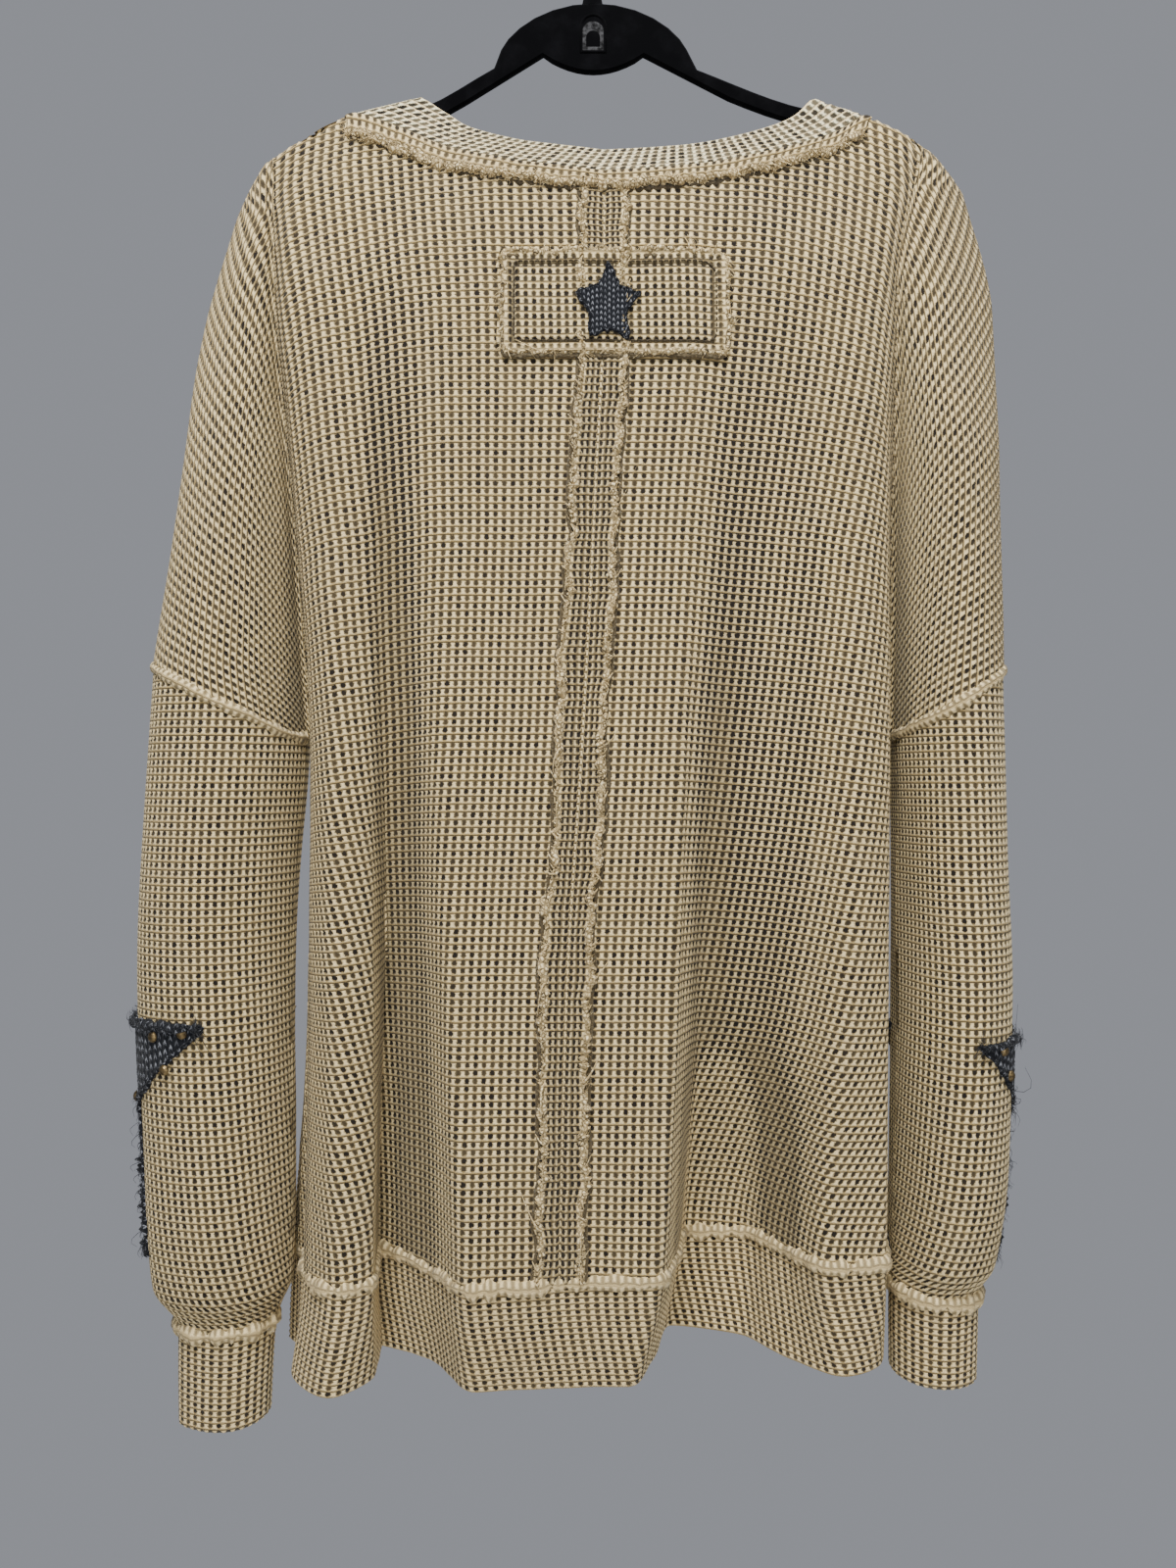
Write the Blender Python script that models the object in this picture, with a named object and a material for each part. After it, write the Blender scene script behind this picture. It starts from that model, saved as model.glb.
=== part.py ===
"""Waffle-knit pullover hung by its shoulders on a slim flocked hanger.

Frame: metres, +Z up.  The back of the pullover faces -Y, its left side as seen
from there is -X, and the origin is the inner top of the hanger's hook.
Tables are in millimetres.  A cloth piece is a wall: a grid of points on the
cloth's middle surface, moved out and in along its normal by half a thickness.
"""

import math

import bmesh
import bpy
import numpy as np
from mathutils import Matrix, Vector

MM = 0.001

# ---------------------------------------------------------------- driving sizes
CLOTH = 2.2            # thickness of the waffle knit
SEAM_GAP = 0.3         # clear space between two pieces at a seam
SLEEVE_GAP = 0.55      # the sleeve's own part of the gap at the armhole
FOLD_GAP = 1.0         # the same along the shoulder and the outer edge of the arm
CORNER_GAP = 0.9       # the same where the cloth bends at the seam
ROLL = 6.5             # radius of the cloth where it turns over the hanger
GROOVE = 4.0           # half width of the fold between body and sleeve
STRIP_WIDTH = 12.5     # one pressed-open strip of the centre back seam
APPLIQUE = 1.6         # thickness of strips, patch and stars
LIFT = 0.3             # clear space between a panel and what is sewn on it
NECK_EDGE_LIFT = 0.8   # the same under the loose allowance round the neck
STAR_LIFT = 1.0        # the same under a star that wraps round a sleeve

NECK_LEAN = {"back": 5.0, "front": 8.0, "shoulder": (46.0, 33.0)}
NECK_RISE = {"back": 16.0, "front": 22.0, "shoulder": 10.5}
NECK_SPAN = 164.0       # half width of the neck from the centre seam
ROLL_COLUMNS = (1.5, 5.0)
NECK_EDGE_ROWS = (-165.0, -167.0, -170.0, -176.0)
STRIP_TOP = -181.0
PATCH = {"top": -233.0, "bottom": -294.0, "left_width": 51.0, "right_width": 84.0}
PATCH_STAR = {"x": 13.6, "z": -266.8, "radius": 24.2, "squeeze": 0.82, "inner": 0.58}
SLEEVE_STAR = {"radius": 108.0, "squeeze": {"left": 0.9, "right": 0.82}, "inner": 0.42,
               "tip_reach": {"left": 78.0, "right": 66.0},
               "drop": 0.24, "tall": 1.25}
STAR_STEP = {"round": 5.0, "down": 20.0}
SLEEVE_STAR_Z = {"left": -734.0, "right": -744.0}

# Heights that all columns of a body panel share, before the neck and the hem
# bend the first and the last one.
LEVELS = {"top": -165.0, "yoke": -250.0, "chest": -390.0, "underarm": -527.0,
          "waist": -690.0, "hem": -853.0, "hem_end": -915.0}
HEM_TILT = 0.035

# One row for each fold line of the back, from the centre seam to the side:
# height of its top end, then x and y where it crosses each of the seven levels.
BACK_LEFT = {
    "centre":     (-182, (11, 11, 5, -2, -12, -16, -17), (-24, -28, -33, -38, -42, -45, -43)),
    "wide_ridge": (-173, (-47, -76, -83, -82, -76, -68, -66), (-20, -29, -33, -37, -42, -50, -45)),
    "ridge_edge": (-162, (-87, -107, -111, -108, -102, -96, -96), (-15, -28, -26, -20, -12, -14, -5)),
    "valley":     (-149, (-114, -126, -126, -124, -130, -139, -134), (-10, -27, -24, -16, 8, 27, 20)),
    "neck_point": (-137, (-150, -143, -138, -134, -130, -130, -131), (-7, -27, -30, -32, -32, -34, -22)),
    "pipe":       (-147, (-168, -165, -154, -149, -147, -147, -152), (-7, -26, -34, -40, -44, -46, -46)),
    "pipe_edge":  (-154, (-183, -182, -175, -169, -171, -174, -181), (-7, -23, -21, -18, -14, -12, -16)),
    "groove":     (-160, (-192, -190, -181, -173, -174, -178, -185), (-7, -14, -3, 5, 9, 12, 12)),
}
BACK_RIGHT = {
    "centre":     (-182, (11, 11, 5, -2, -12, -16, -17), (-24, -28, -33, -38, -42, -45, -43)),
    "wide_ridge": (-177, (62, 61, 58, 55, 50, 40, 26), (-20, -29, -32, -37, -42, -47, -45)),
    "ridge_edge": (-169, (98, 78, 70, 63, 58, 54, 39), (-16, -28, -30, -31, -28, -14, -14)),
    "valley":     (-160, (130, 102, 92, 84, 74, 66, 56), (-12, -27, -25, -20, -4, 34, 32)),
    "slope":      (-149, (158, 128, 121, 115, 108, 100, 100), (-8, -27, -27, -24, -8, 30, 16)),
    "neck_point": (-138, (178, 150, 148, 142, 136, 124, 126), (-7, -27, -30, -30, -26, 0, -18)),
    "pipe":       (-143, (190, 167, 165, 163, 158, 148, 156), (-7, -26, -34, -38, -41, -36, -42)),
    "pipe_edge":  (-148, (200, 181, 182, 183, 182, 178, 176), (-7, -22, -24, -26, -28, -34, -32)),
    "groove":     (-153, (207, 190, 190, 190, 188, 188, 188), (-7, -14, -3, 5, 9, 12, 10)),
}
FRONT_LEFT = {
    "centre":     (-236, (14, 12, 6, 0, -4, -6, -6), (14, 20, 36, 44, 48, 50, 50)),
    "soft_ridge": (-224, (-50, -52, -58, -60, -62, -64, -64), (13, 21, 40, 48, 52, 54, 53)),
    "valley":     (-186, (-104, -100, -100, -100, -102, -104, -104), (11, 22, 32, 38, 42, 46, 48)),
    "neck_point": (-137, (-150, -146, -140, -136, -136, -140, -142), (7, 24, 36, 44, 50, 54, 52)),
    "groove":     (-160, (-192, -190, -181, -173, -180, -192, -196), (7, 20, 22, 19, 26, 33, 35)),
}
FRONT_RIGHT = {
    "centre":     (-236, (14, 12, 6, 0, -4, -6, -6), (14, 20, 36, 44, 48, 50, 50)),
    "soft_ridge": (-224, (78, 70, 64, 60, 56, 54, 54), (13, 21, 34, 40, 46, 52, 52)),
    "valley":     (-188, (132, 120, 112, 108, 104, 102, 102), (11, 22, 40, 48, 52, 54, 53)),
    "neck_point": (-138, (178, 160, 154, 152, 150, 150, 150), (7, 24, 36, 42, 46, 48, 48)),
    "groove":     (-153, (207, 190, 190, 190, 188, 188, 188), (7, 20, 22, 19, 24, 28, 28)),
}

# One row for each station of an arm, from the shoulder end to the cuff:
# inner and outer edge, then how far the cloth bulges to the back and the front.
ARM_COLUMNS = ("in_x", "in_z", "out_x", "out_z", "back_y", "front_y", "back", "front")
ARM_LEFT = {
    "shoulder":  (-200, -165, -219, -200, -7, 7, 3.5, 3.5),
    "yoke":      (-198, -250, -238, -272, -14, 20, 14, 9),
    "chest":     (-189, -390, -250, -376, -3, 22, 40, 20),
    "armhole":   (-181, -527, -265, -483, 5, 19, 50, 28),
    "upper_arm": (-185, -600, -272, -590, 4, 14, 50, 30),
    "elbow":     (-188, -680, -276, -680, 3, 11, 47, 28),
    "forearm":   (-188, -790, -272, -790, 2, 10, 44, 26),
    "wrist":     (-188, -866, -268, -866, 0, 8, 36, 22),
    "cuff_seam": (-198, -893, -254, -893, -1, 6, 24, 18),
    "cuff_end":  (-202, -953, -254, -953, -1, 6, 22, 16),
}
ARM_RIGHT = {
    "shoulder":  (215, -158, 236, -184, -7, 7, 3.5, 3.5),
    "yoke":      (198, -250, 254, -262, -14, 20, 16, 9),
    "chest":     (198, -390, 254, -374, -3, 22, 42, 20),
    "armhole":   (198, -524, 255, -485, 5, 19, 50, 28),
    "upper_arm": (199, -600, 257, -592, 5, 19, 52, 32),
    "elbow":     (199, -690, 261, -690, 4, 18, 52, 32),
    "forearm":   (198, -790, 259, -790, 4, 16, 48, 30),
    "wrist":     (196, -850, 252, -850, 2, 12, 40, 26),
    "cuff_seam": (195, -873, 244, -873, 0, 8, 26, 18),
    "cuff_end":  (195, -926, 243, -926, 0, 8, 24, 16),
}

UNDERARM_CENTRE = -525.5
UNDERARM_TRIM = 0.02
SHARED_ROWS = (-165, -167, -170, -176, -190, -216, -250, -320, -390, -460, -527)
BODY_ROWS = (-527, -580, -635, -690, -745, -800, -853)
HEM_ROWS = (-853, -884, -915)
ARM_STEPS = {"back": 10, "front": 8, "inner": 2}
BODY_STEPS = {"back": 21, "front": 10}
GROOVE_STEPS = 3
SIDE_STEPS = 2
SIDE_BULGE = 1.2
SIDE_SEAM = {-1: ((-173.0, 12.0), (-177.0, 17.0), (-185.0, 22.0)),
             1: ((190.0, 12.0), (188.0, 16.5), (188.0, 20.0))}
SLEEVE_ROWS = 12
WRAP_FINER = 5

# Studs of a sleeve star: distance round the sleeve from its outer edge, and
# height above the star's centre.
STUD = {"radius": 3.4, "high": 2.2}
STUDS = {"left": ((66, 30), (47, 27), (54, 8), (19, -14)),
         "right": ((50, 30), (43, 14), (-10, 22))}

# Hanger: top line of each arm as (x, z), and the crown's outline.
HANGER = {"thick": 5.0, "ease": 1.2, "arm_deep": 10.0, "hook_wire": 3.4, "hook_inner": 17.0}
HANGER_ARM_LEFT = ((-58, -104), (-106, -130), (-130, -136), (-150, -140.5), (-168, -150),
                   (-183, -157), (-203, -174))
HANGER_ARM_RIGHT = ((70, -105), (128, -127), (150, -132.5), (178, -141.5), (190, -146),
                    (200, -151), (222, -172))
CROWN = {"top": -63.0, "left": -61.0, "right": 71.0, "side": -103.0, "lobe": -107.0,
         "notch": -96.0, "notch_left": -27.0, "notch_right": 36.0, "stem_x": 4.0, "shoulder": 6.0}


# ---------------------------------------------------------------- interpolation
def smooth(knots, values, at):
    """Monotone cubic through values (first axis at knots), read at the points at."""
    knots = np.asarray(knots, float)
    values = np.asarray(values, float)
    at = np.clip(np.asarray(at, float), knots[0], knots[-1])
    step = np.diff(knots).reshape((-1,) + (1,) * (values.ndim - 1))
    slope = np.diff(values, axis=0) / step
    rate = np.zeros_like(values)
    product = slope[:-1] * slope[1:]
    near, far = step[:-1], step[1:]
    weight_a, weight_b = 2 * far + near, far + 2 * near
    total = weight_a + weight_b
    safe_a = np.where(product > 0, slope[:-1], 1.0)
    safe_b = np.where(product > 0, slope[1:], 1.0)
    rate[1:-1] = np.where(product > 0, total / (weight_a / safe_a + weight_b / safe_b), 0.0)
    rate[0], rate[-1] = slope[0], slope[-1]
    place = np.clip(np.searchsorted(knots, at, side="right") - 1, 0, len(knots) - 2)
    shape = (-1,) + (1,) * (values.ndim - 1)
    width = np.diff(knots)[place].reshape(shape)
    t = ((at - knots[place]) / np.diff(knots)[place]).reshape(shape)
    return ((1 + 2 * t) * (1 - t) ** 2 * values[place] + t * (1 - t) ** 2 * width * rate[place]
            + t * t * (3 - 2 * t) * values[place + 1]
            + t * t * (t - 1) * width * rate[place + 1])


def roll(depth):
    """Share of its full offset that cloth has at a depth below the fold over the hanger."""
    near = np.clip(depth / ROLL, 0.0, 1.0)
    return np.sqrt(1.0 - (1.0 - near) ** 2)


# ---------------------------------------------------------------- body surfaces
class Panel:
    """One half of the back or the front, from the centre line to the side."""

    def __init__(self, folds, arm, face):
        """folds and arm are tables; face is -1 for the back and +1 for the front."""
        self.face = face
        self.surface = "back" if face < 0 else "front"
        self.names = list(folds)
        top = np.array([row[0] for row in folds.values()], float)
        self.x = np.array([row[1] for row in folds.values()], float)
        self.y = np.array([row[2] for row in folds.values()], float)
        level = np.array(list(LEVELS.values()))
        under = arm["armhole"][ARM_COLUMNS.index("in_z")]
        self.z = np.repeat(level[None, :], len(top), axis=0)
        self.z[:, 0] = top
        self.z[:, -2:] += HEM_TILT * self.x[:, -2:]
        lengths = np.hypot(np.diff(self.x, axis=0), np.diff(self.y, axis=0)).mean(axis=1)
        self.place = np.concatenate([[0.0], np.cumsum(lengths)])
        share = self.place / self.place[-1]
        self.z[:, 3] = UNDERARM_CENTRE * (1 - share) + under * share
        self.neck = self.place[self.names.index("neck_point")]
        self.arm = {name: np.array(row, float) for name, row in arm.items()}
        self.side = math.copysign(1.0, self.x[-1, 3])

    def columns(self, steps):
        """Places of a panel's columns: even, but with one on each fold and the neck point."""
        even = np.linspace(self.place[0], self.place[-1], steps + 1)
        for knot in self.place[1:-1]:
            nearest = 1 + np.argmin(np.abs(even[1:-1] - knot))
            even[nearest] = knot
        beside = self.neck - np.array(ROLL_COLUMNS)
        return np.sort(np.concatenate([even, beside]))

    def points(self, columns, rows):
        """Points of the main field: rows by columns, with the turn over the hanger."""
        table = np.stack([self.x, self.y, self.z], axis=-1)
        across = smooth(self.place, table, columns)
        level = -np.array(list(LEVELS.values()))
        grid = smooth(level, across.transpose(1, 0, 2), -np.asarray(rows, float))
        depth = grid[:1, :, 2] - grid[:, :, 2]
        inside = np.maximum(self.neck - columns, 0.0)[None, :]
        grid[:, :, 1] *= roll(np.hypot(depth, inside))
        return grid

    def edge(self, rows):
        """The column at the groove, rows by 3."""
        return self.points(self.place[-1:], rows)[:, 0]

    def flap(self, steps, rows):
        """The dropped shoulder, from the groove to the outer edge, above the armhole."""
        names = ("shoulder", "yoke", "chest", "armhole")
        table = np.array([self.arm[name] for name in names])
        level = -np.array([LEVELS[n] for n in ("top", "yoke", "chest", "underarm")])
        row = smooth(level, table, -np.asarray(rows, float))
        grid = arm_section(row, np.linspace(0, math.pi, steps + 1), self.face)
        depth = grid[:1, :, 2] - grid[:, :, 2]
        grid[:, :, 1] *= roll(np.maximum(depth, 0.0))
        return grid

    def groove(self, rows):
        """The turn at the bottom of the fold between the panel and its flap."""
        inner, outer = self.edge(rows), self.flap(1, rows)[:, 0]
        angle = np.linspace(0, math.pi, GROOVE_STEPS + 2)[None, :, None]
        middle, half = (inner + outer) / 2, (inner - outer) / 2
        grid = middle[:, None] + half[:, None] * np.cos(angle)
        depth = np.maximum(inner[0, 2] - inner[:, 2], 0.0)
        reach = GROOVE * smooth((0, 60, 400), (0.0, 0.8, 1.0), depth)
        grid[:, :, 1] -= self.face * reach[:, None] * np.sin(angle[:, :, 0])
        return grid


def arm_section(row, angle, face):
    """Half a section of an arm: inner edge at angle 0, outer edge at angle pi."""
    in_x, in_z, out_x, out_z, back_y, front_y, back, front = (row[:, i, None] for i in range(8))
    share = (1 - np.cos(angle))[None, :] / 2
    rise = np.sin(angle)[None, :] ** (1.3 - 0.7 * share)
    start, bulge = (back_y, back) if face < 0 else (front_y, front)
    y = start * (1 - share) + face * bulge * rise
    return np.stack([in_x + (out_x - in_x) * share, y, in_z + (out_z - in_z) * share], axis=-1)


def trim(grid, side, amount):
    """Move one edge of a grid inwards along the surface by an amount."""
    grid = grid.copy()
    edge, beside = {"first_row": (grid[0], grid[1]), "last_row": (grid[-1], grid[-2]),
                    "first_column": (grid[:, 0], grid[:, 1]),
                    "last_column": (grid[:, -1], grid[:, -2])}[side]
    way = beside - edge
    edge += way / np.maximum(np.linalg.norm(way, axis=-1, keepdims=True), 1e-9) * amount
    return grid


# ---------------------------------------------------------------- solids
def material(name, colour, roughness, metallic=0.0):
    """A Principled material."""
    item = bpy.data.materials.new(name)
    item.use_nodes = True
    shader = item.node_tree.nodes["Principled BSDF"]
    shader.inputs["Base Color"].default_value = (*colour, 1.0)
    shader.inputs["Roughness"].default_value = roughness
    shader.inputs["Metallic"].default_value = metallic
    return item


def add_object(name, mesh, finish):
    """Link a mesh as a named object with its material."""
    mesh.materials.append(finish)
    mesh.shade_smooth()
    item = bpy.data.objects.new(name, mesh)
    bpy.context.collection.objects.link(item)
    return item


def wall(name, patches, outward, finish, inner=-CLOTH / 2, outer=CLOTH / 2):
    """A closed wall through patches of middle-surface points in millimetres.

    outward is the rough direction of the outer side at the first patch.
    inner and outer are the two offsets along the normal.
    """
    sheet = bmesh.new()
    for grid in patches:
        verts = [[sheet.verts.new(point * MM) for point in row] for row in grid]
        for upper, lower in zip(verts, verts[1:]):
            for a, b, c, d in zip(upper, upper[1:], lower[1:], lower):
                sheet.faces.new((a, d, c, b))
    return thicken(name, sheet, outward, finish, inner, outer)


def thicken(name, sheet, outward, finish, inner, outer):
    """Turn an open sheet of faces into a closed wall between two offsets."""
    bmesh.ops.remove_doubles(sheet, verts=sheet.verts, dist=0.00004)
    bmesh.ops.recalc_face_normals(sheet, faces=sheet.faces)
    sheet.normal_update()
    sheet.faces.ensure_lookup_table()
    if sheet.faces[0].normal.dot(outward) < 0:
        bmesh.ops.reverse_faces(sheet, faces=sheet.faces)
        sheet.normal_update()
    sheet.verts.index_update()
    for v in sheet.verts:
        if v.is_boundary and abs(v.co.y) < FOLD_GAP * MM:
            v.normal = v.normal * Vector((1, 0, 1))
            v.normal.normalize()
    count = len(sheet.verts)
    points = [v.co + v.normal * (outer * MM) for v in sheet.verts]
    points += [v.co + v.normal * (inner * MM) for v in sheet.verts]
    faces = []
    for face in sheet.faces:
        ring = [v.index for v in face.verts]
        faces.append(ring)
        faces.append([count + i for i in reversed(ring)])
    for edge in sheet.edges:
        if edge.is_boundary:
            loop = edge.link_loops[0]
            a, b = loop.vert.index, loop.link_loop_next.vert.index
            faces.append([b, a, count + a, count + b])
    sheet.free()
    mesh = bpy.data.meshes.new(name)
    mesh.from_pydata(points, [], faces)
    mesh.update()
    return add_object(name, mesh, finish)


def body_panel(name, halves, finish):
    """A back or front piece from one or two Panel halves, with its flaps and sides."""
    patches = []
    for half in halves:
        rows = SHARED_ROWS + BODY_ROWS[1:]
        field = half.points(half.columns(BODY_STEPS[half.surface]), rows)
        field = trim(field, "last_row", SEAM_GAP / 2)
        if len(halves) == 1:
            field = trim(field, "first_column", SEAM_GAP / 2)
        flap = half.flap(ARM_STEPS[half.surface], SHARED_ROWS)
        groove = half.groove(SHARED_ROWS)
        below = len(SHARED_ROWS) - 1
        side = side_wall(half, field[below:, -1], SEAM_GAP * 0.8)
        flap = trim(flap, "last_row", SEAM_GAP / 2)
        groove[:, 0], groove[:, -1] = field[:below + 1, -1], flap[:, 0]
        groove[-1, 1:-1] += (groove[-2, 1:-1] - groove[-1, 1:-1]) * UNDERARM_TRIM
        flap[:, -1, 1] = half.face * FOLD_GAP / 2
        for grid in (field[:, half_neck(half):], groove, flap):
            grid[0, :, 1] = half.face * FOLD_GAP / 2
        patches += [field, groove, flap, side]
    return wall(name, patches, (0, halves[0].face, 0), finish)


def half_neck(half):
    """Index of the first column of a panel that lies on the shoulder line."""
    columns = half.columns(BODY_STEPS[half.surface])
    return int(np.argmin(np.abs(columns - half.neck)))


def side_wall(half, edge, gap):
    """The strip from a panel's side edge to the side seam, below the underarm."""
    steps = np.linspace(0, 1, SIDE_STEPS + 1)[None, :, None]
    target = edge.copy()
    target[:, :2] = side_seam(half.side, edge[:, 2])
    target[:, 1] += half.face * gap
    grid = edge[:, None] * (1 - steps) + target[:, None] * steps
    grid[:, :, 0] += half.side * SIDE_BULGE * np.sin(steps[:, :, 0] * math.pi / 2)
    return grid


def side_seam(side, z):
    """X and y of a side seam at a height, read from its places at three levels."""
    level = -np.array([LEVELS[n] for n in ("underarm", "waist", "hem")])
    return smooth(level, np.array(SIDE_SEAM[int(side)]), -z)


def ring(*parts):
    """Join runs of points into one closed run, dropping the points they share."""
    joined = [parts[0]]
    for part in parts[1:]:
        joined.append(part[1:])
    return np.concatenate(joined)


def body_rings(halves, rows):
    """Closed runs of points round the body below the underarm, one for each row.

    Each run starts at the left side of the back and goes by the right side and
    the front; halves are back left, back right, front left and front right.
    """
    runs = []
    for half in halves:
        columns = half.columns(BODY_STEPS[half.surface])
        field = half.points(columns, (LEVELS["top"],) + rows)[1:]
        runs.append((field, side_wall(half, field[:, -1], 0.0)))
    (left, left_side), (right, right_side) = runs[:2]
    (fore_left, fore_left_side), (fore_right, fore_right_side) = runs[2:]
    parts = (left[:, ::-1], right, right_side, fore_right_side[:, ::-1], fore_right[:, ::-1],
             fore_left, fore_left_side, left_side[:, ::-1])
    return np.concatenate([parts[0]] + [part[:, 1:] for part in parts[1:]], axis=1)


def hem_band(halves, finish):
    """The waffle band below the hem seam."""
    grid = trim(body_rings(halves, HEM_ROWS), "first_row", CORNER_GAP / 2)
    return wall("hem_band", [grid], (0, -1, 0), finish)


def neck_run(half, rows):
    """Rows of points along a panel's neck edge, from the centre to the neck point."""
    columns = half.columns(BODY_STEPS[half.surface])[:half_neck(half) + 1]
    return half.points(columns, rows)


def neck_band(halves, finish):
    """The closed band above the neck seam, wider where it crosses the shoulder."""
    runs = [neck_run(half, (-165,))[0] for half in halves]
    back_left, back_right, front_left, front_right = runs
    seam = ring(back_left[::-1], back_right, front_right[::-1], front_left)
    centre_x = back_left[0][0]
    reach = np.clip(np.abs(seam[:, 0] - centre_x) / NECK_SPAN, 0, 1) ** 2.2
    front = seam[:, 1] > 0
    lean = np.where(front, -NECK_LEAN["front"], NECK_LEAN["back"]) * (1 - reach)
    rise = np.where(front, NECK_RISE["front"], NECK_RISE["back"]) * (1 - reach)
    rise = rise + NECK_RISE["shoulder"] * reach
    right = seam[:, 0] > centre_x
    inward = np.where(right, -NECK_LEAN["shoulder"][1], NECK_LEAN["shoulder"][0]) * reach
    offset = np.stack([inward, lean, rise], axis=-1)
    length = np.linalg.norm(offset, axis=-1, keepdims=True)
    rows = [seam + offset * (CORNER_GAP / 2 / length) + np.array([0.0, 0.0, CORNER_GAP])]
    rows += [seam + offset * share for share in (0.35, 0.7, 1.0)]
    return wall("neckband", [np.array(rows)[::-1]], (0, -1, 0), finish)


def on_panel(name, grids, finish, layer=0, lift=LIFT):
    """A thin piece that lies on the outside of a panel, one or more layers up."""
    low = CLOTH / 2 + lift + layer * (APPLIQUE + LIFT)
    grids = [np.array(grid) for grid in grids]
    return wall(name, grids, (0, grids[0][0, 0, 1], 0), finish, inner=low, outer=low + APPLIQUE)


def neck_edge(name, halves, finish):
    """The raw seam allowance that lies on the outside along the neck seam."""
    grids = [neck_run(half, NECK_EDGE_ROWS)[:, :-1] for half in halves]
    return on_panel(name, grids, finish, lift=NECK_EDGE_LIFT)


def seam_strip(name, half, finish):
    """One raw edge of the centre back seam, pressed open on the outside."""
    rows = [row for row in SHARED_ROWS + BODY_ROWS[1:] if STRIP_TOP > row]
    rows = [STRIP_TOP] + rows[:-1] + [rows[-1] + SEAM_GAP]
    columns = np.array([SEAM_GAP, STRIP_WIDTH / 2, STRIP_WIDTH])
    return on_panel(name, [half.points(columns, rows)], finish)


def back_patch(halves, finish):
    """The rectangle sewn across the centre back seam."""
    grids = []
    rows = np.linspace(PATCH["top"], PATCH["bottom"], 5)
    for half, width in zip(halves, (PATCH["left_width"], PATCH["right_width"])):
        grids.append(half.points(np.linspace(0, width, 7), rows))
    return on_panel("back_patch", grids, finish, layer=1)


def star_outline(inner, per_edge):
    """Points round a five-point star of radius 1, one tip up, per_edge on each edge."""
    angle = np.arange(11) * math.pi / 5
    radius = np.where(np.arange(11) % 2 == 0, 1.0, inner)
    corners = np.stack([radius * np.sin(angle), radius * np.cos(angle)], axis=-1)
    share = np.arange(per_edge)[:, None] / per_edge
    runs = [a * (1 - share) + b * share for a, b in zip(corners, corners[1:])]
    return np.concatenate(runs + [corners[:1]])


def patch_star(halves, finish):
    """The small star on the back patch."""
    outline = star_outline(PATCH_STAR["inner"], 2) * PATCH_STAR["radius"]
    rows = np.linspace(-205, -300, 40)
    columns = np.linspace(0, 60, 40)
    samples = np.concatenate([half.points(columns, rows).reshape(-1, 3) for half in halves])
    grid = []
    for share in (0.0, 0.4, 0.75, 1.0):
        ring_x = PATCH_STAR["x"] + outline[:, 0] * PATCH_STAR["squeeze"] * share
        ring_z = PATCH_STAR["z"] + outline[:, 1] * share
        gap = (samples[:, 0] - ring_x[:, None]) ** 2 + (samples[:, 2] - ring_z[:, None]) ** 2
        grid.append(np.stack([ring_x, samples[gap.argmin(axis=1), 1], ring_z], axis=-1))
    return on_panel("patch_star", [np.array(grid)], finish, layer=2)


class Arm:
    """A sleeve with its cuff, as sections between its inner and outer edges."""

    def __init__(self, stations):
        """stations is a table with the columns of ARM_COLUMNS."""
        names = list(stations)
        table = np.array([stations[name] for name in names], float)
        self.start, self.seam = names.index("armhole"), names.index("cuff_seam")
        self.level = -(table[:, 1] + table[:, 3]) / 2
        self.table = table

    def loops(self, places, finer=1):
        """Closed sections at places between stations, given as heights of the arm."""
        row = smooth(self.level, self.table, places)
        back = arm_section(row, np.linspace(0, math.pi, finer * ARM_STEPS["back"] + 1), -1)
        front = arm_section(row, np.linspace(math.pi, 0, finer * ARM_STEPS["front"] + 1), 1)
        share = np.linspace(0, 1, ARM_STEPS["inner"] + 1)[None, :, None]
        inner = front[:, -1:] * (1 - share) + back[:, :1] * share
        return np.concatenate([back, front[:, 1:], inner[:, 1:]], axis=1)

    def wrap(self, reach, height):
        """The point at a distance round the sleeve from its outer edge, at a height."""
        loop = self.loops(np.array([-height]), WRAP_FINER)[0]
        steps = np.linalg.norm(np.diff(loop, axis=0), axis=-1)
        along = np.concatenate([[0.0], np.cumsum(steps)])
        outer = along[WRAP_FINER * ARM_STEPS["back"]]
        place = np.clip(outer - reach, 0.0, along[-1])
        point = np.array([np.interp(place, along, loop[:, i]) for i in range(3)])
        point[2] = height
        return point


def sleeve(name, arm, finish):
    """The sleeve tube, from the armhole seam to the cuff seam."""
    places = np.linspace(arm.level[arm.start], arm.level[arm.seam], SLEEVE_ROWS)
    grid = trim(trim(arm.loops(places), "first_row", SLEEVE_GAP), "last_row", CORNER_GAP / 2)
    return wall(name, [grid], (0, -1, 0), finish)


def cuff(name, arm, finish):
    """The waffle cuff below the sleeve."""
    low, high = arm.level[arm.seam], arm.level[-1]
    grid = arm.loops(np.array([low, low + 6, (low + high) / 2, high]))
    return wall(name, [trim(grid, "first_row", CORNER_GAP / 2)], (0, -1, 0), finish)


def star_place(side):
    """Centre of a sleeve star: distance round the sleeve from its outer edge, height."""
    half_span = SLEEVE_STAR["radius"] * SLEEVE_STAR["squeeze"][side] * math.sin(math.radians(72))
    return SLEEVE_STAR["tip_reach"][side] - half_span, SLEEVE_STAR_Z[side]


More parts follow.
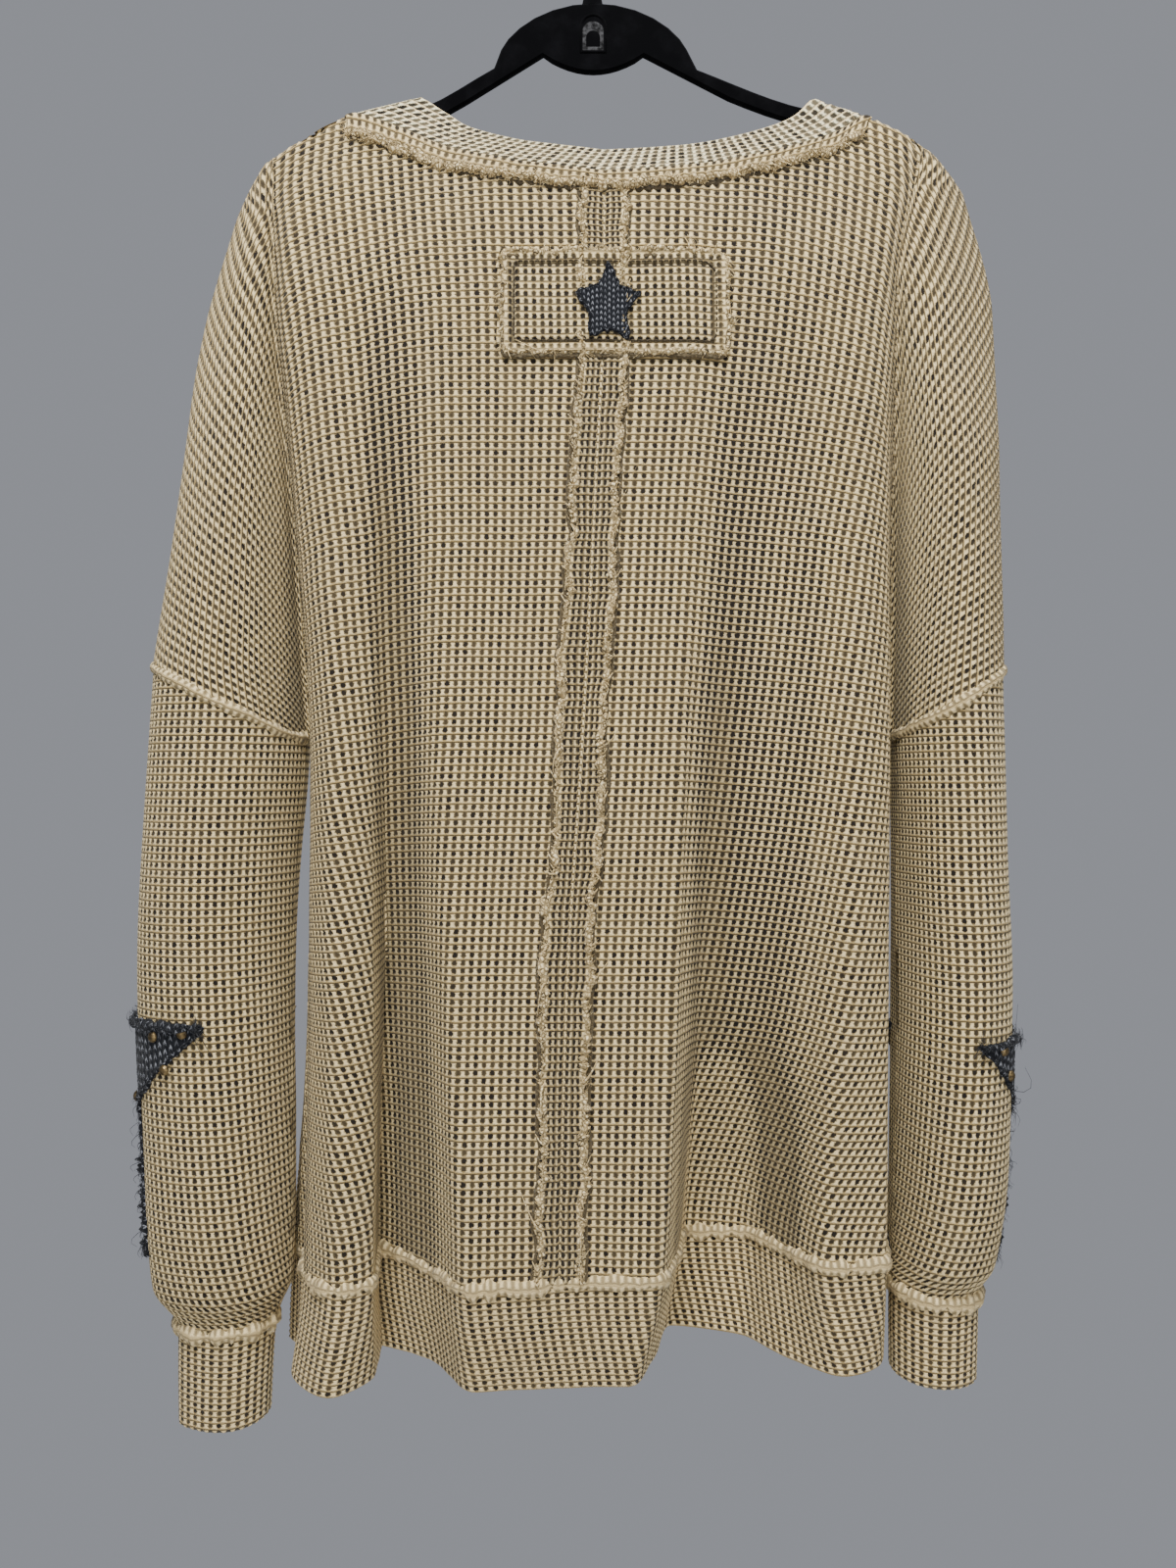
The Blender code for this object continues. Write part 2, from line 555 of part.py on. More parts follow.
def sleeve_star(name, arm, side, finish):
    """The large star on the outer side of a sleeve, one arm reaching to the back."""
    squeeze = SLEEVE_STAR["squeeze"][side]
    outline = star_outline(SLEEVE_STAR["inner"], 1)[:-1] * SLEEVE_STAR["radius"]
    sheet = bmesh.new()
    sheet.faces.new([sheet.verts.new((x * squeeze, 0, z)) for x, z in outline])
    reach = SLEEVE_STAR["radius"] * squeeze
    for axis, step in (((1, 0, 0), STAR_STEP["round"]), ((0, 0, 1), STAR_STEP["down"])):
        for place in np.arange(-reach, reach + step, step) + step / 3:
            everything = sheet.verts[:] + sheet.edges[:] + sheet.faces[:]
            bmesh.ops.bisect_plane(sheet, geom=everything, plane_no=axis,
                                   plane_co=[place * part for part in axis])
    bmesh.ops.dissolve_degenerate(sheet, edges=sheet.edges, dist=0.5)
    bmesh.ops.triangulate(sheet, faces=sheet.faces)
    centre, height = star_place(side)
    middle_x = arm.table[5, [0, 2]].mean()
    for v in sheet.verts:
        below = min(v.co.z, 0.0)
        reach = centre + v.co.x + SLEEVE_STAR["drop"] * below
        tall = height + v.co.z + (SLEEVE_STAR["tall"] - 1.0) * below
        v.co = Vector(arm.wrap(reach, tall) * MM)
    sheet.faces.ensure_lookup_table()
    first = sheet.faces[0].calc_center_median()
    outward = (first.x - middle_x * MM, first.y, 0)
    low = CLOTH / 2 + STAR_LIFT
    return thicken(name, sheet, outward, finish, low, low + APPLIQUE)


def stud(name, arm, side, reach, height, finish):
    """A domed stud on a sleeve star."""
    point = arm.wrap(reach, height)
    around = arm.wrap(reach - 3, height) - arm.wrap(reach + 3, height)
    normal = Vector((around[1], -around[0], 0)).normalized()
    middle = np.array([arm.table[5, [0, 2]].mean(), 0.0, height])
    if normal.dot(Vector(point - middle)) < 0:
        normal = -normal
    shape = bmesh.new()
    rings = []
    for share, rise in ((1.0, 0.0), (0.9, 0.35), (0.55, 0.8)):
        angle = np.arange(10) * math.pi / 5
        radius = STUD["radius"] * share * MM
        rings.append([shape.verts.new((radius * math.cos(a), radius * math.sin(a),
                                       rise * STUD["high"] * MM)) for a in angle])
    top = shape.verts.new((0, 0, STUD["high"] * MM))
    for lower, upper in zip(rings, rings[1:]):
        for i in range(10):
            j = (i + 1) % 10
            shape.faces.new((lower[i], lower[j], upper[j], upper[i]))
    for i in range(10):
        shape.faces.new((rings[-1][i], rings[-1][(i + 1) % 10], top))
    shape.faces.new(rings[0][::-1])
    seat = CLOTH / 2 + STAR_LIFT + APPLIQUE + LIFT
    place = Vector(point * MM) + normal * (seat * MM)
    bmesh.ops.transform(shape, verts=shape.verts,
                        matrix=Matrix.Translation(place) @ normal.to_track_quat("Z", "Y").to_matrix().to_4x4())
    mesh = bpy.data.meshes.new(name)
    shape.to_mesh(mesh)
    shape.free()
    return add_object(name, mesh, finish)


# ---------------------------------------------------------------- hanger
def offset_path(path, amount):
    """A run of (x, z) points moved sideways by an amount."""
    path = np.asarray(path, float)
    way = np.gradient(path, axis=0)
    way /= np.linalg.norm(way, axis=1, keepdims=True)
    return path + np.stack([-way[:, 1], way[:, 0]], axis=-1) * amount


def arm_top(points, count=14):
    """A smooth run along the top of one hanger arm, from the crown to its tip."""
    points = np.array(points, float)
    along = np.abs(points[:, 0])
    return smooth(along, points, np.linspace(along[0], along[-1], count))


def hanger_outline():
    """The closed outline of crown and arms, clockwise from the left notch, as (x, z)."""
    left, right = arm_top(HANGER_ARM_LEFT), arm_top(HANGER_ARM_RIGHT)
    deep = HANGER["arm_deep"]
    left_low, right_low = offset_path(left, deep), offset_path(right, -deep)
    half = (CROWN["right"] - CROWN["left"]) / 2 - CROWN["shoulder"]
    middle = (CROWN["left"] + CROWN["right"]) / 2
    base = CROWN["side"] + CROWN["shoulder"]
    angle = np.linspace(0, math.pi, 15)[1:-1]
    dome_z = base + (CROWN["top"] - base) * np.sin(angle) ** 1.3
    dome = np.stack([middle - half * np.cos(angle), dome_z], -1)
    wave = np.linspace(0, 1, 13)
    lobe_x = CROWN["notch_left"] + (CROWN["notch_right"] - CROWN["notch_left"]) * wave
    lobe_z = CROWN["notch"] + (CROWN["lobe"] - CROWN["notch"]) * np.sin(wave * math.pi) ** 0.8
    lobe = np.stack([lobe_x, lobe_z], -1)[::-1]
    tip_left = tip(left[-1], left_low[-1])
    tip_right = tip(right_low[-1], right[-1])
    return np.concatenate([left_low[2:], tip_left[::-1], left[::-1], dome, right, tip_right[::-1],
                           right_low[2:][::-1], lobe])


def tip(start, end):
    """Two points that round off an arm's end between its top and lower edges."""
    along = end - start
    outward = np.array([along[1], -along[0]]) * 0.3
    if (outward[0] > 0) != (start[0] > 0):
        outward = -outward
    return np.array([start + along * 0.25 + outward, start + along * 0.75 + outward])


def hanger_body(finish):
    """Crown and arms as one flat plate with eased edges."""
    outline = hanger_outline()
    before, after = np.roll(outline, 1, axis=0), np.roll(outline, -1, axis=0)
    way = after - before
    way /= np.linalg.norm(way, axis=1, keepdims=True)
    inset = outline + np.stack([way[:, 1], -way[:, 0]], axis=-1) * HANGER["ease"]
    half = HANGER["thick"] / 2
    rings = ((inset, -half), (outline, -half + HANGER["ease"]),
             (outline, half - HANGER["ease"]), (inset, half))
    shape = bmesh.new()
    loops = [[shape.verts.new((x * MM, y * MM, z * MM)) for x, z in line] for line, y in rings]
    count = len(outline)
    for lower, upper in zip(loops, loops[1:]):
        for i in range(count):
            j = (i + 1) % count
            shape.faces.new((lower[i], lower[j], upper[j], upper[i]))
    for loop in (loops[0], loops[-1]):
        shape.faces.new(loop)
    bmesh.ops.recalc_face_normals(shape, faces=shape.faces)
    mesh = bpy.data.meshes.new("hanger")
    shape.to_mesh(mesh)
    shape.free()
    return add_object("hanger", mesh, finish)


def hook(finish):
    """The wire hook: a stem, a bend to the right and an arc over the top."""
    wire, inner = HANGER["hook_wire"] / 2, HANGER["hook_inner"]
    radius = inner + wire
    start = np.array([CROWN["stem_x"], CROWN["top"] + SEAM_GAP])
    arc = np.radians(np.linspace(-20, 200, 23))
    loop = np.stack([radius * np.cos(arc), -inner + radius * np.sin(arc)], axis=-1)
    bend = np.linspace(0, 1, 9)[:, None]
    turn = np.array([start[0], -36.0])
    rise = (1 - bend) ** 2 * start + 2 * bend * (1 - bend) * turn + bend ** 2 * loop[0]
    path = np.concatenate([rise[:-1], loop])
    curve = bpy.data.curves.new("hook", "CURVE")
    curve.dimensions = "3D"
    curve.bevel_depth = wire * MM
    curve.bevel_resolution = 2
    curve.use_fill_caps = True
    spline = curve.splines.new("POLY")
    spline.points.add(len(path) - 1)
    for point, (x, z) in zip(spline.points, path):
        point.co = (x * MM, 0, z * MM, 1)
    curve.materials.append(finish)
    item = bpy.data.objects.new("hook", curve)
    bpy.context.collection.objects.link(item)
    return item


# ---------------------------------------------------------------- assembly
def clear_scene():
    """Start from an empty scene."""
    for item in list(bpy.data.objects):
        bpy.data.objects.remove(item, do_unlink=True)


def main():
    """Build every piece."""
    clear_scene()
    knit = material("waffle_knit", (0.50, 0.38, 0.22), 0.95)
    dark = material("dark_rib_knit", (0.03, 0.03, 0.035), 0.95)
    brass = material("aged_brass", (0.45, 0.32, 0.14), 0.4, 1.0)
    velvet = material("black_flock", (0.006, 0.006, 0.007), 0.9)
    steel = material("dark_steel", (0.08, 0.08, 0.085), 0.35, 1.0)
    back = [Panel(BACK_LEFT, ARM_LEFT, -1), Panel(BACK_RIGHT, ARM_RIGHT, -1)]
    front = [Panel(FRONT_LEFT, ARM_LEFT, 1), Panel(FRONT_RIGHT, ARM_RIGHT, 1)]
    body_panel("back_left", back[:1], knit)
    body_panel("back_right", back[1:], knit)
    body_panel("front", front, knit)
    hem_band(back + front, knit)
    neck_band(back + front, knit)
    neck_edge("neck_edge_back", back, knit)
    neck_edge("neck_edge_front", front, knit)
    seam_strip("seam_strip_left", back[0], knit)
    seam_strip("seam_strip_right", back[1], knit)
    back_patch(back, knit)
    patch_star(back, dark)
    for side, stations in (("left", ARM_LEFT), ("right", ARM_RIGHT)):
        arm = Arm(stations)
        sleeve("sleeve_" + side, arm, knit)
        cuff("cuff_" + side, arm, knit)
        sleeve_star("sleeve_star_" + side, arm, side, dark)
        for number, (reach, rise) in enumerate(STUDS[side], 1):
            height = SLEEVE_STAR_Z[side] + rise
            stud(f"stud_{side}_{number}", arm, side, reach, height, brass)
    hanger_body(velvet)
    hook(steel)


main()
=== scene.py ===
"""Visual model of a waffle-knit pullover that hangs back-first on a slim flocked hanger.

Every cloth piece is a surface P(place, level): tables of fold lines or of sleeve
sections, joined by a monotone cubic.  The surface is then read again at even
distances, half a knit cell apart, so that the relief of the waffle can stand on
its vertices.  Tables are in millimetres and meshes in metres.
"""

import logging
import math
from dataclasses import dataclass, field
from enum import Enum
from typing import Dict, List, Optional, Sequence, Tuple

import bpy
import numpy as np
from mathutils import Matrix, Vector


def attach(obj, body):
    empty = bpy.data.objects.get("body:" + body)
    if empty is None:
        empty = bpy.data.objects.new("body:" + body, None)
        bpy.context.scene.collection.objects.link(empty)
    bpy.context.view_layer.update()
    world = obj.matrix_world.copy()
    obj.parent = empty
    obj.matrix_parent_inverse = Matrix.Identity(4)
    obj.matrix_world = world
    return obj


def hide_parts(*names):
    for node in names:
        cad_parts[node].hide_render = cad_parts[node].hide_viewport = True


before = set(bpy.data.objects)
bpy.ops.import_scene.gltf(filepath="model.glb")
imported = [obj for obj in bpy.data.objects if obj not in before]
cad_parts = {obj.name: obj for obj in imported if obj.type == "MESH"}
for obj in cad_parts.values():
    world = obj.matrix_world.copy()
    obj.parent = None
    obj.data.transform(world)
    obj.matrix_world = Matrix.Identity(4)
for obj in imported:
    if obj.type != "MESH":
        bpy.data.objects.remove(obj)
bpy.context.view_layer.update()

LOG = logging.getLogger("pullover")
Grid = np.ndarray
Colour = Tuple[float, float, float]
MM = 0.001

# ------------------------------------------------------------------ shared sizes
CLOTH = 2.2  # thickness of the knit
ROLL = 6.5  # radius of the fold over the hanger
GROOVE = 4.0  # depth of the fold between panel and shoulder
HEM_TILT = 0.035  # rise of the hem for each millimetre to the right
UNDERARM_CENTRE = -525.5  # height of the underarm level at the centre line
SIDE_BULGE = 1.2  # how far the side seam stands out
DOWN = np.array([0.0, 0.0, -1.0])
# X and y of each side seam at the underarm, the waist and the hem.
SIDE_SEAM = {-1: ((-173.0, 12.0), (-177.0, 17.0), (-185.0, 22.0)),
             1: ((190.0, 12.0), (188.0, 16.5), (188.0, 20.0))}
# How the neckband leans in and rises from the seam, and the distance over which both change.
NECK_SPAN = 164.0
NECK_LEAN = {"back": 5.0, "front": 8.0, "shoulder": (46.0, 33.0)}
NECK_RISE = {"back": 16.0, "front": 22.0, "shoulder": 10.5}
# Heights of the levels of the body; the last one is the free edge of the hem band.
LEVELS = {"top": -165.0, "yoke": -250.0, "chest": -390.0, "underarm": -527.0,
          "waist": -690.0, "hem": -853.0, "hem_end": -915.0}

# One row for each fold line of the body, from the centre line to the side:
# height of its top end, then x and y where it crosses each of the seven levels.
BACK_LEFT = {
    "centre":     (-182, (11, 11, 5, -2, -12, -16, -17), (-24, -28, -33, -38, -42, -45, -43)),
    "wide_ridge": (-173, (-47, -76, -83, -82, -76, -68, -66), (-20, -29, -33, -37, -42, -50, -45)),
    "ridge_edge": (-162, (-87, -107, -111, -108, -102, -96, -96),
                   (-15, -28, -26, -20, -12, -14, -5)),
    "valley":     (-149, (-114, -126, -126, -124, -130, -139, -134),
                   (-10, -27, -24, -16, 8, 27, 20)),
    "neck_point": (-137, (-150, -143, -138, -134, -130, -130, -131),
                   (-7, -27, -30, -32, -32, -34, -22)),
    "pipe":       (-147, (-168, -165, -154, -149, -147, -147, -152),
                   (-7, -26, -34, -40, -44, -46, -46)),
    "pipe_edge":  (-154, (-183, -182, -175, -169, -171, -174, -181),
                   (-7, -23, -21, -18, -14, -12, -16)),
    "groove":     (-160, (-192, -190, -181, -173, -174, -178, -185), (-7, -14, -3, 5, 9, 12, 12)),
}
BACK_RIGHT = {
    "centre":     (-182, (11, 11, 5, -2, -12, -16, -17), (-24, -28, -33, -38, -42, -45, -43)),
    "wide_ridge": (-177, (62, 61, 58, 55, 50, 40, 26), (-20, -29, -32, -37, -42, -47, -45)),
    "ridge_edge": (-169, (98, 78, 70, 63, 58, 54, 39), (-16, -28, -30, -31, -28, -14, -14)),
    "valley":     (-160, (130, 102, 92, 84, 74, 66, 56), (-12, -27, -25, -20, -4, 34, 32)),
    "slope":      (-149, (158, 128, 121, 115, 108, 100, 100), (-8, -27, -27, -24, -8, 30, 16)),
    "neck_point": (-138, (178, 150, 148, 142, 136, 124, 126), (-7, -27, -30, -30, -26, 0, -18)),
    "pipe":       (-143, (190, 167, 165, 163, 158, 148, 156), (-7, -26, -34, -38, -41, -36, -42)),
    "pipe_edge":  (-148, (200, 181, 182, 183, 182, 178, 176), (-7, -22, -24, -26, -28, -34, -32)),
    "groove":     (-153, (207, 190, 190, 190, 188, 188, 188), (-7, -14, -3, 5, 9, 12, 10)),
}
FRONT_LEFT = {
    "centre":     (-236, (14, 12, 6, 0, -4, -6, -6), (14, 20, 36, 44, 48, 50, 50)),
    "soft_ridge": (-224, (-50, -52, -58, -60, -62, -64, -64), (13, 21, 40, 48, 52, 54, 53)),
    "valley":     (-186, (-104, -100, -100, -100, -102, -104, -104), (11, 22, 32, 38, 42, 46, 48)),
    "neck_point": (-137, (-150, -146, -140, -136, -136, -140, -142), (7, 24, 36, 44, 50, 54, 52)),
    "groove":     (-160, (-192, -190, -181, -173, -180, -192, -196), (7, 20, 22, 19, 26, 33, 35)),
}
FRONT_RIGHT = {
    "centre":     (-236, (14, 12, 6, 0, -4, -6, -6), (14, 20, 36, 44, 48, 50, 50)),
    "soft_ridge": (-224, (78, 70, 64, 60, 56, 54, 54), (13, 21, 34, 40, 46, 52, 52)),
    "valley":     (-188, (132, 120, 112, 108, 104, 102, 102), (11, 22, 40, 48, 52, 54, 53)),
    "neck_point": (-138, (178, 160, 154, 152, 150, 150, 150), (7, 24, 36, 42, 46, 48, 48)),
    "groove":     (-153, (207, 190, 190, 190, 188, 188, 188), (7, 20, 22, 19, 24, 28, 28)),
}

# One row for each station of an arm, from the shoulder end to the cuff:
# inner and outer edge, then how far the cloth bulges to the back and the front.
ARM_COLUMNS = ("in_x", "in_z", "out_x", "out_z", "back_y", "front_y", "back", "front")
ARM_LEFT = {
    "shoulder":  (-200, -165, -219, -200, -7, 7, 3.5, 3.5),
    "yoke":      (-198, -250, -238, -272, -14, 20, 14, 9),
    "chest":     (-189, -390, -250, -376, -3, 22, 40, 20),
    "armhole":   (-181, -527, -265, -483, 5, 19, 50, 28),
    "upper_arm": (-185, -600, -272, -590, 4, 14, 50, 30),
    "elbow":     (-188, -680, -276, -680, 3, 11, 47, 28),
    "forearm":   (-188, -790, -272, -790, 2, 10, 44, 26),
    "wrist":     (-188, -866, -268, -866, 0, 8, 36, 22),
    "cuff_seam": (-198, -893, -254, -893, -1, 6, 24, 18),
    "cuff_end":  (-202, -953, -254, -953, -1, 6, 22, 16),
}
ARM_RIGHT = {
    "shoulder":  (215, -158, 236, -184, -7, 7, 3.5, 3.5),
    "yoke":      (198, -250, 254, -262, -14, 20, 16, 9),
    "chest":     (198, -390, 254, -374, -3, 22, 42, 20),
    "armhole":   (198, -524, 255, -485, 5, 19, 50, 28),
    "upper_arm": (199, -600, 257, -592, 5, 19, 52, 32),
    "elbow":     (199, -690, 261, -690, 4, 18, 52, 32),
    "forearm":   (198, -790, 259, -790, 4, 16, 48, 30),
    "wrist":     (196, -850, 252, -850, 2, 12, 40, 26),
    "cuff_seam": (195, -873, 244, -873, 0, 8, 26, 18),
    "cuff_end":  (195, -926, 243, -926, 0, 8, 24, 16),
}


class Face(Enum):
    """The two surfaces of the body; the value is the sign of their outward Y."""

    BACK = -1
    FRONT = 1


class Side(Enum):
    """The two sides, as seen from behind; the value is the sign of X."""

    LEFT = -1
    RIGHT = 1


# ------------------------------------------------------------------ curve helpers
def smooth(knots: Sequence[float], values: Grid, at: Grid) -> Grid:
    """Read a monotone cubic through values at the places at.

    Each stretch is the cubic Hermite of its two ends, whose slopes are the
    weighted harmonic means of the slopes beside them, or zero at an extreme.

    Args:
        knots: Rising places of the values.
        values: Values, with their first axis along the knots.
        at: Places to read, held inside the knots.

    Returns:
        The values at those places, with the first axis along at.
    """
    knots = np.asarray(knots, float)
    values = np.asarray(values, float)
    at = np.clip(np.asarray(at, float), knots[0], knots[-1])
    step = np.diff(knots).reshape((-1,) + (1,) * (values.ndim - 1))
    slope = np.diff(values, axis=0) / step
    rate = np.zeros_like(values)
    product = slope[:-1] * slope[1:]
    near, far = step[:-1], step[1:]
    weight_a, weight_b = 2 * far + near, far + 2 * near
    safe_a = np.where(product > 0, slope[:-1], 1.0)
    safe_b = np.where(product > 0, slope[1:], 1.0)
    mean = (weight_a + weight_b) / (weight_a / safe_a + weight_b / safe_b)
    rate[1:-1] = np.where(product > 0, mean, 0.0)
    rate[0], rate[-1] = slope[0], slope[-1]
    place = np.clip(np.searchsorted(knots, at, side="right") - 1, 0, len(knots) - 2)
    shape = (-1,) + (1,) * (values.ndim - 1)
    width = np.diff(knots)[place].reshape(shape)
    t = ((at - knots[place]) / np.diff(knots)[place]).reshape(shape)
    return ((1 + 2 * t) * (1 - t) ** 2 * values[place] + t * (1 - t) ** 2 * width * rate[place]
            + t * t * (3 - 2 * t) * values[place + 1]
            + t * t * (t - 1) * width * rate[place + 1])


def resample(along: Grid, values: Grid, at: Grid) -> Grid:
    """Read many curves at once, by straight lines between their samples.

    Every curve is moved along by its own number times a common span, so that one
    sorted search serves them all.

    Args:
        along: (curves, samples), rising along each curve.
        values: (curves, samples, parts).
        at: (curves, reads), held inside each curve.

    Returns:
        (curves, reads, parts).
    """
    count, samples = along.shape
    at = np.clip(at, along[:, :1], along[:, -1:])
    span = float(np.ptp(along)) + 1.0
    shift = np.arange(count)[:, None] * span - along.min()
    flat = (along + shift).ravel()
    first = np.arange(count)[:, None] * samples
    place = np.searchsorted(flat, (at + shift).ravel(), side="right").reshape(at.shape) - 1
    place = np.clip(place, first, first + samples - 2)
    run = flat[place + 1] - flat[place]
    share = np.clip((at + shift - flat[place]) / np.maximum(run, 1e-9), 0.0, 1.0)[..., None]
    table = values.reshape(count * samples, -1)
    return table[place] * (1 - share) + table[place + 1] * share


def arc_length(points: Grid) -> Grid:
    """Distance along each row of (rows, samples, 3) points, from the row's start."""
    steps = np.linalg.norm(np.diff(points, axis=1), axis=-1)
    return np.concatenate([np.zeros((len(points), 1)), np.cumsum(steps, axis=1)], axis=1)


def unit(vectors: Grid) -> Grid:
    """Vectors of length one, along the last axis."""
    return vectors / np.maximum(np.linalg.norm(vectors, axis=-1, keepdims=True), 1e-12)


def grid_normals(points: Grid, outward: Grid) -> Grid:
    """Unit normals of a grid of points: the cross product of its two gradients.

    Args:
        points: (rows, columns, 3).
        outward: A rough outward direction; the normals are turned to its side.

    Returns:
        (rows, columns, 3) unit normals.
    """
    down, across = np.gradient(points, axis=0), np.gradient(points, axis=1)
    normal = unit(np.cross(across, down))
    return -normal if (normal * outward).sum(axis=-1).mean() < 0 else normal


def noise(at: Grid, wavelength: float, seed: int, waves: int = 7) -> Grid:
    """Smooth noise of about unit strength: a sum of sine waves of one length.

    Wave number k has a direction and a phase drawn from the seed, and adds
    sin(direction . at * 2 pi / wavelength + phase).

    Args:
        at: (..., parts) places.
        wavelength: Length of a wave, in the unit of at.
        seed: Seed of the directions and phases.
        waves: Number of waves.

    Returns:
        (...) values, most of them between -1 and 1.
    """
    draw = np.random.default_rng(seed)
    ways = unit(draw.normal(size=(waves, at.shape[-1]))) * draw.uniform(0.6, 1.5, (waves, 1))
    phase = draw.uniform(0, 2 * math.pi, waves)
    return np.sin(at @ ways.T * (2 * math.pi / wavelength) + phase).sum(axis=-1) / math.sqrt(waves)


def pairs(first: Grid, second: Grid) -> Grid:
    """Two arrays, made the same shape, as the last axis of one."""
    return np.stack(np.broadcast_arrays(first, second), axis=-1).astype(float)


def quads(index: Grid) -> Grid:
    """The quads (m, 4) of a (rows, columns) grid of point numbers."""
    return np.stack([index[:-1, :-1], index[1:, :-1], index[1:, 1:], index[:-1, 1:]],
                    axis=-1).reshape(-1, 4)


def quad_areas(points: Grid, faces: Grid) -> Grid:
    """Area vector of each quad, doubled: the cross product of its diagonals."""
    corner = points[faces]
    return np.cross(corner[:, 2] - corner[:, 0], corner[:, 3] - corner[:, 1])


def roll(depth: Grid) -> Grid:
    """Share of its full offset that cloth has at a depth below its fold: a quarter circle."""
    return np.sqrt(1.0 - (1.0 - np.clip(depth / ROLL, 0.0, 1.0)) ** 2)


# ------------------------------------------------------------------ woven surfaces
@dataclass
class Weave:
    """Sizes of a waffle knit, and how its grid is laid on a surface (millimetres)."""

    across: float = 5.0
    down: float = 4.65
    relief: float = 0.75
    wrinkle: float = 0.5
    seed: int = 3

    def height(self, cells: Grid) -> Grid:
        """Relief of the knit at places given in cells.

        It is relief * (1 - 1.9 * sin^2(pi u) * sin^2(pi v)): a ridge along whole
        numbers of cells and a pit at the middle of each cell.

        Args:
            cells: (..., 2) places, in cells across and down.

        Returns:
            (...) heights above the middle of the relief.
        """
        pit = np.sin(np.pi * cells[..., 0]) ** 2 * np.sin(np.pi * cells[..., 1]) ** 2
        return self.relief * (1.0 - 1.9 * pit)

    def slack(self, points: Grid) -> Grid:
        """Soft unevenness of hanging cloth: drag lines that run down, and small dents."""
        tall = points * np.array([1.0, 1.0, 0.28])
        broad = noise(tall, 58.0, self.seed, 9) * 0.9
        fine = noise(tall, 23.0, self.seed + 1, 9) * 0.4
        return self.wrinkle * (broad + fine)


@dataclass
class Cut:
    """A grid of points on a surface, ready to be made a mesh.

    points and normals are (rows, columns, 3), cells (rows, columns, 2), and
    outside marks the points that were pulled back onto the edge.
    """

    points: Grid
    normals: Grid
    cells: Grid
    outside: Grid

    def raised(self, height: Grid) -> Grid:
        """The points moved out along their normals by a height in millimetres."""
        return self.points + self.normals * np.asarray(height)[..., None]

    def thin(self, step: int) -> "Cut":
        """The same surface with every so many rows and columns, and its last ones."""
        pick = np.ix_(*(np.unique(np.append(np.arange(0, size, step), size - 1))
                        for size in self.points.shape[:2]))
        return Cut(self.points[pick], self.normals[pick], self.cells[pick], self.outside[pick])


def with_normals(points: Grid, outward: Grid, closed: bool = False) -> Grid:
    """Join a dense grid of points with its unit normals.

    Args:
        points: (levels, places, 3).
        outward: A rough outward direction, or a direction for each point.
        closed: Whether the last place is the first one again.

    Returns:
        (levels, places, 6).
    """
    if closed:
        outward = np.broadcast_to(outward, points.shape)
        wide, way = (np.concatenate([grid[:, -3:-1], grid, grid[:, 1:3]], axis=1)
                     for grid in (points, outward))
        normals = grid_normals(wide, way)[:, 2:-2]
    else:
        normals = grid_normals(points, outward)
    return np.concatenate([points, normals], axis=-1)


def lay_rows(sheet: Grid, weave: Weave, droop: Optional[Grid] = None) -> Tuple[Grid, Grid]:
    """Read a dense sheet again along even rows of half a cell.

    Row m is the line at the depth m * down / 2, plus the droop, which fades with the
    depth from its full size to a quarter.  Places past the upper or lower edge are
    pulled back onto it and marked in a seventh part.

    Args:
        sheet: (levels, places, 6) dense points and normals, falling level by level.
        weave: The knit's sizes.
        droop: (places,) how far a row has sunk at each place, at the top.

    Returns:
        (rows, places, 7) and the number of each row.
    """
    sheet = sheet.transpose(1, 0, 2)
    depth = -sheet[..., 2]
    half = weave.down / 2
    sag = np.zeros(len(sheet)) if droop is None else droop
    first = math.floor((depth.min() - sag.max()) / half)
    rows = np.arange(first, math.ceil(depth.max() / half) + 1)
    fade = np.clip(1.25 - rows * half / 900.0, 0.25, 1.0)
    want = rows[None, :] * half + sag[:, None] * fade[None, :]
    past = (want < depth[:, :1]) | (want > depth[:, -1:])
    found = np.concatenate([resample(depth, sheet, want), past[..., None]], axis=-1)
    return found.transpose(1, 0, 2), rows


def lay_columns(found: Grid, rows: Grid, width: Grid) -> Cut:
    """Read rows of places again at even distances, measured level.

    Args:
        found: (rows, places, 7) points, normals and marks.
        rows: Number of each row, in half cells.
        width: Width of a cell in each row, or one width.

    Returns:
        The cut grid of points.
    """
    width = np.broadcast_to(np.asarray(width, float), (len(rows),))
    along = arc_length(found[..., :3] * np.array([1.0, 1.0, 0.0]))
    columns = np.arange(math.ceil((2 * along[:, -1] / width).max()) + 1)
    target = columns[None, :] * width[:, None] / 2
    outside = target > along[:, -1:]
    read = resample(along, found, target)
    outside = outside | (read[..., 6] > 0.5)
    cells = pairs(columns[None, :] / 2.0, rows[:, None] / 2.0)
    return Cut(read[..., :3], unit(read[..., 3:6]), cells, outside)


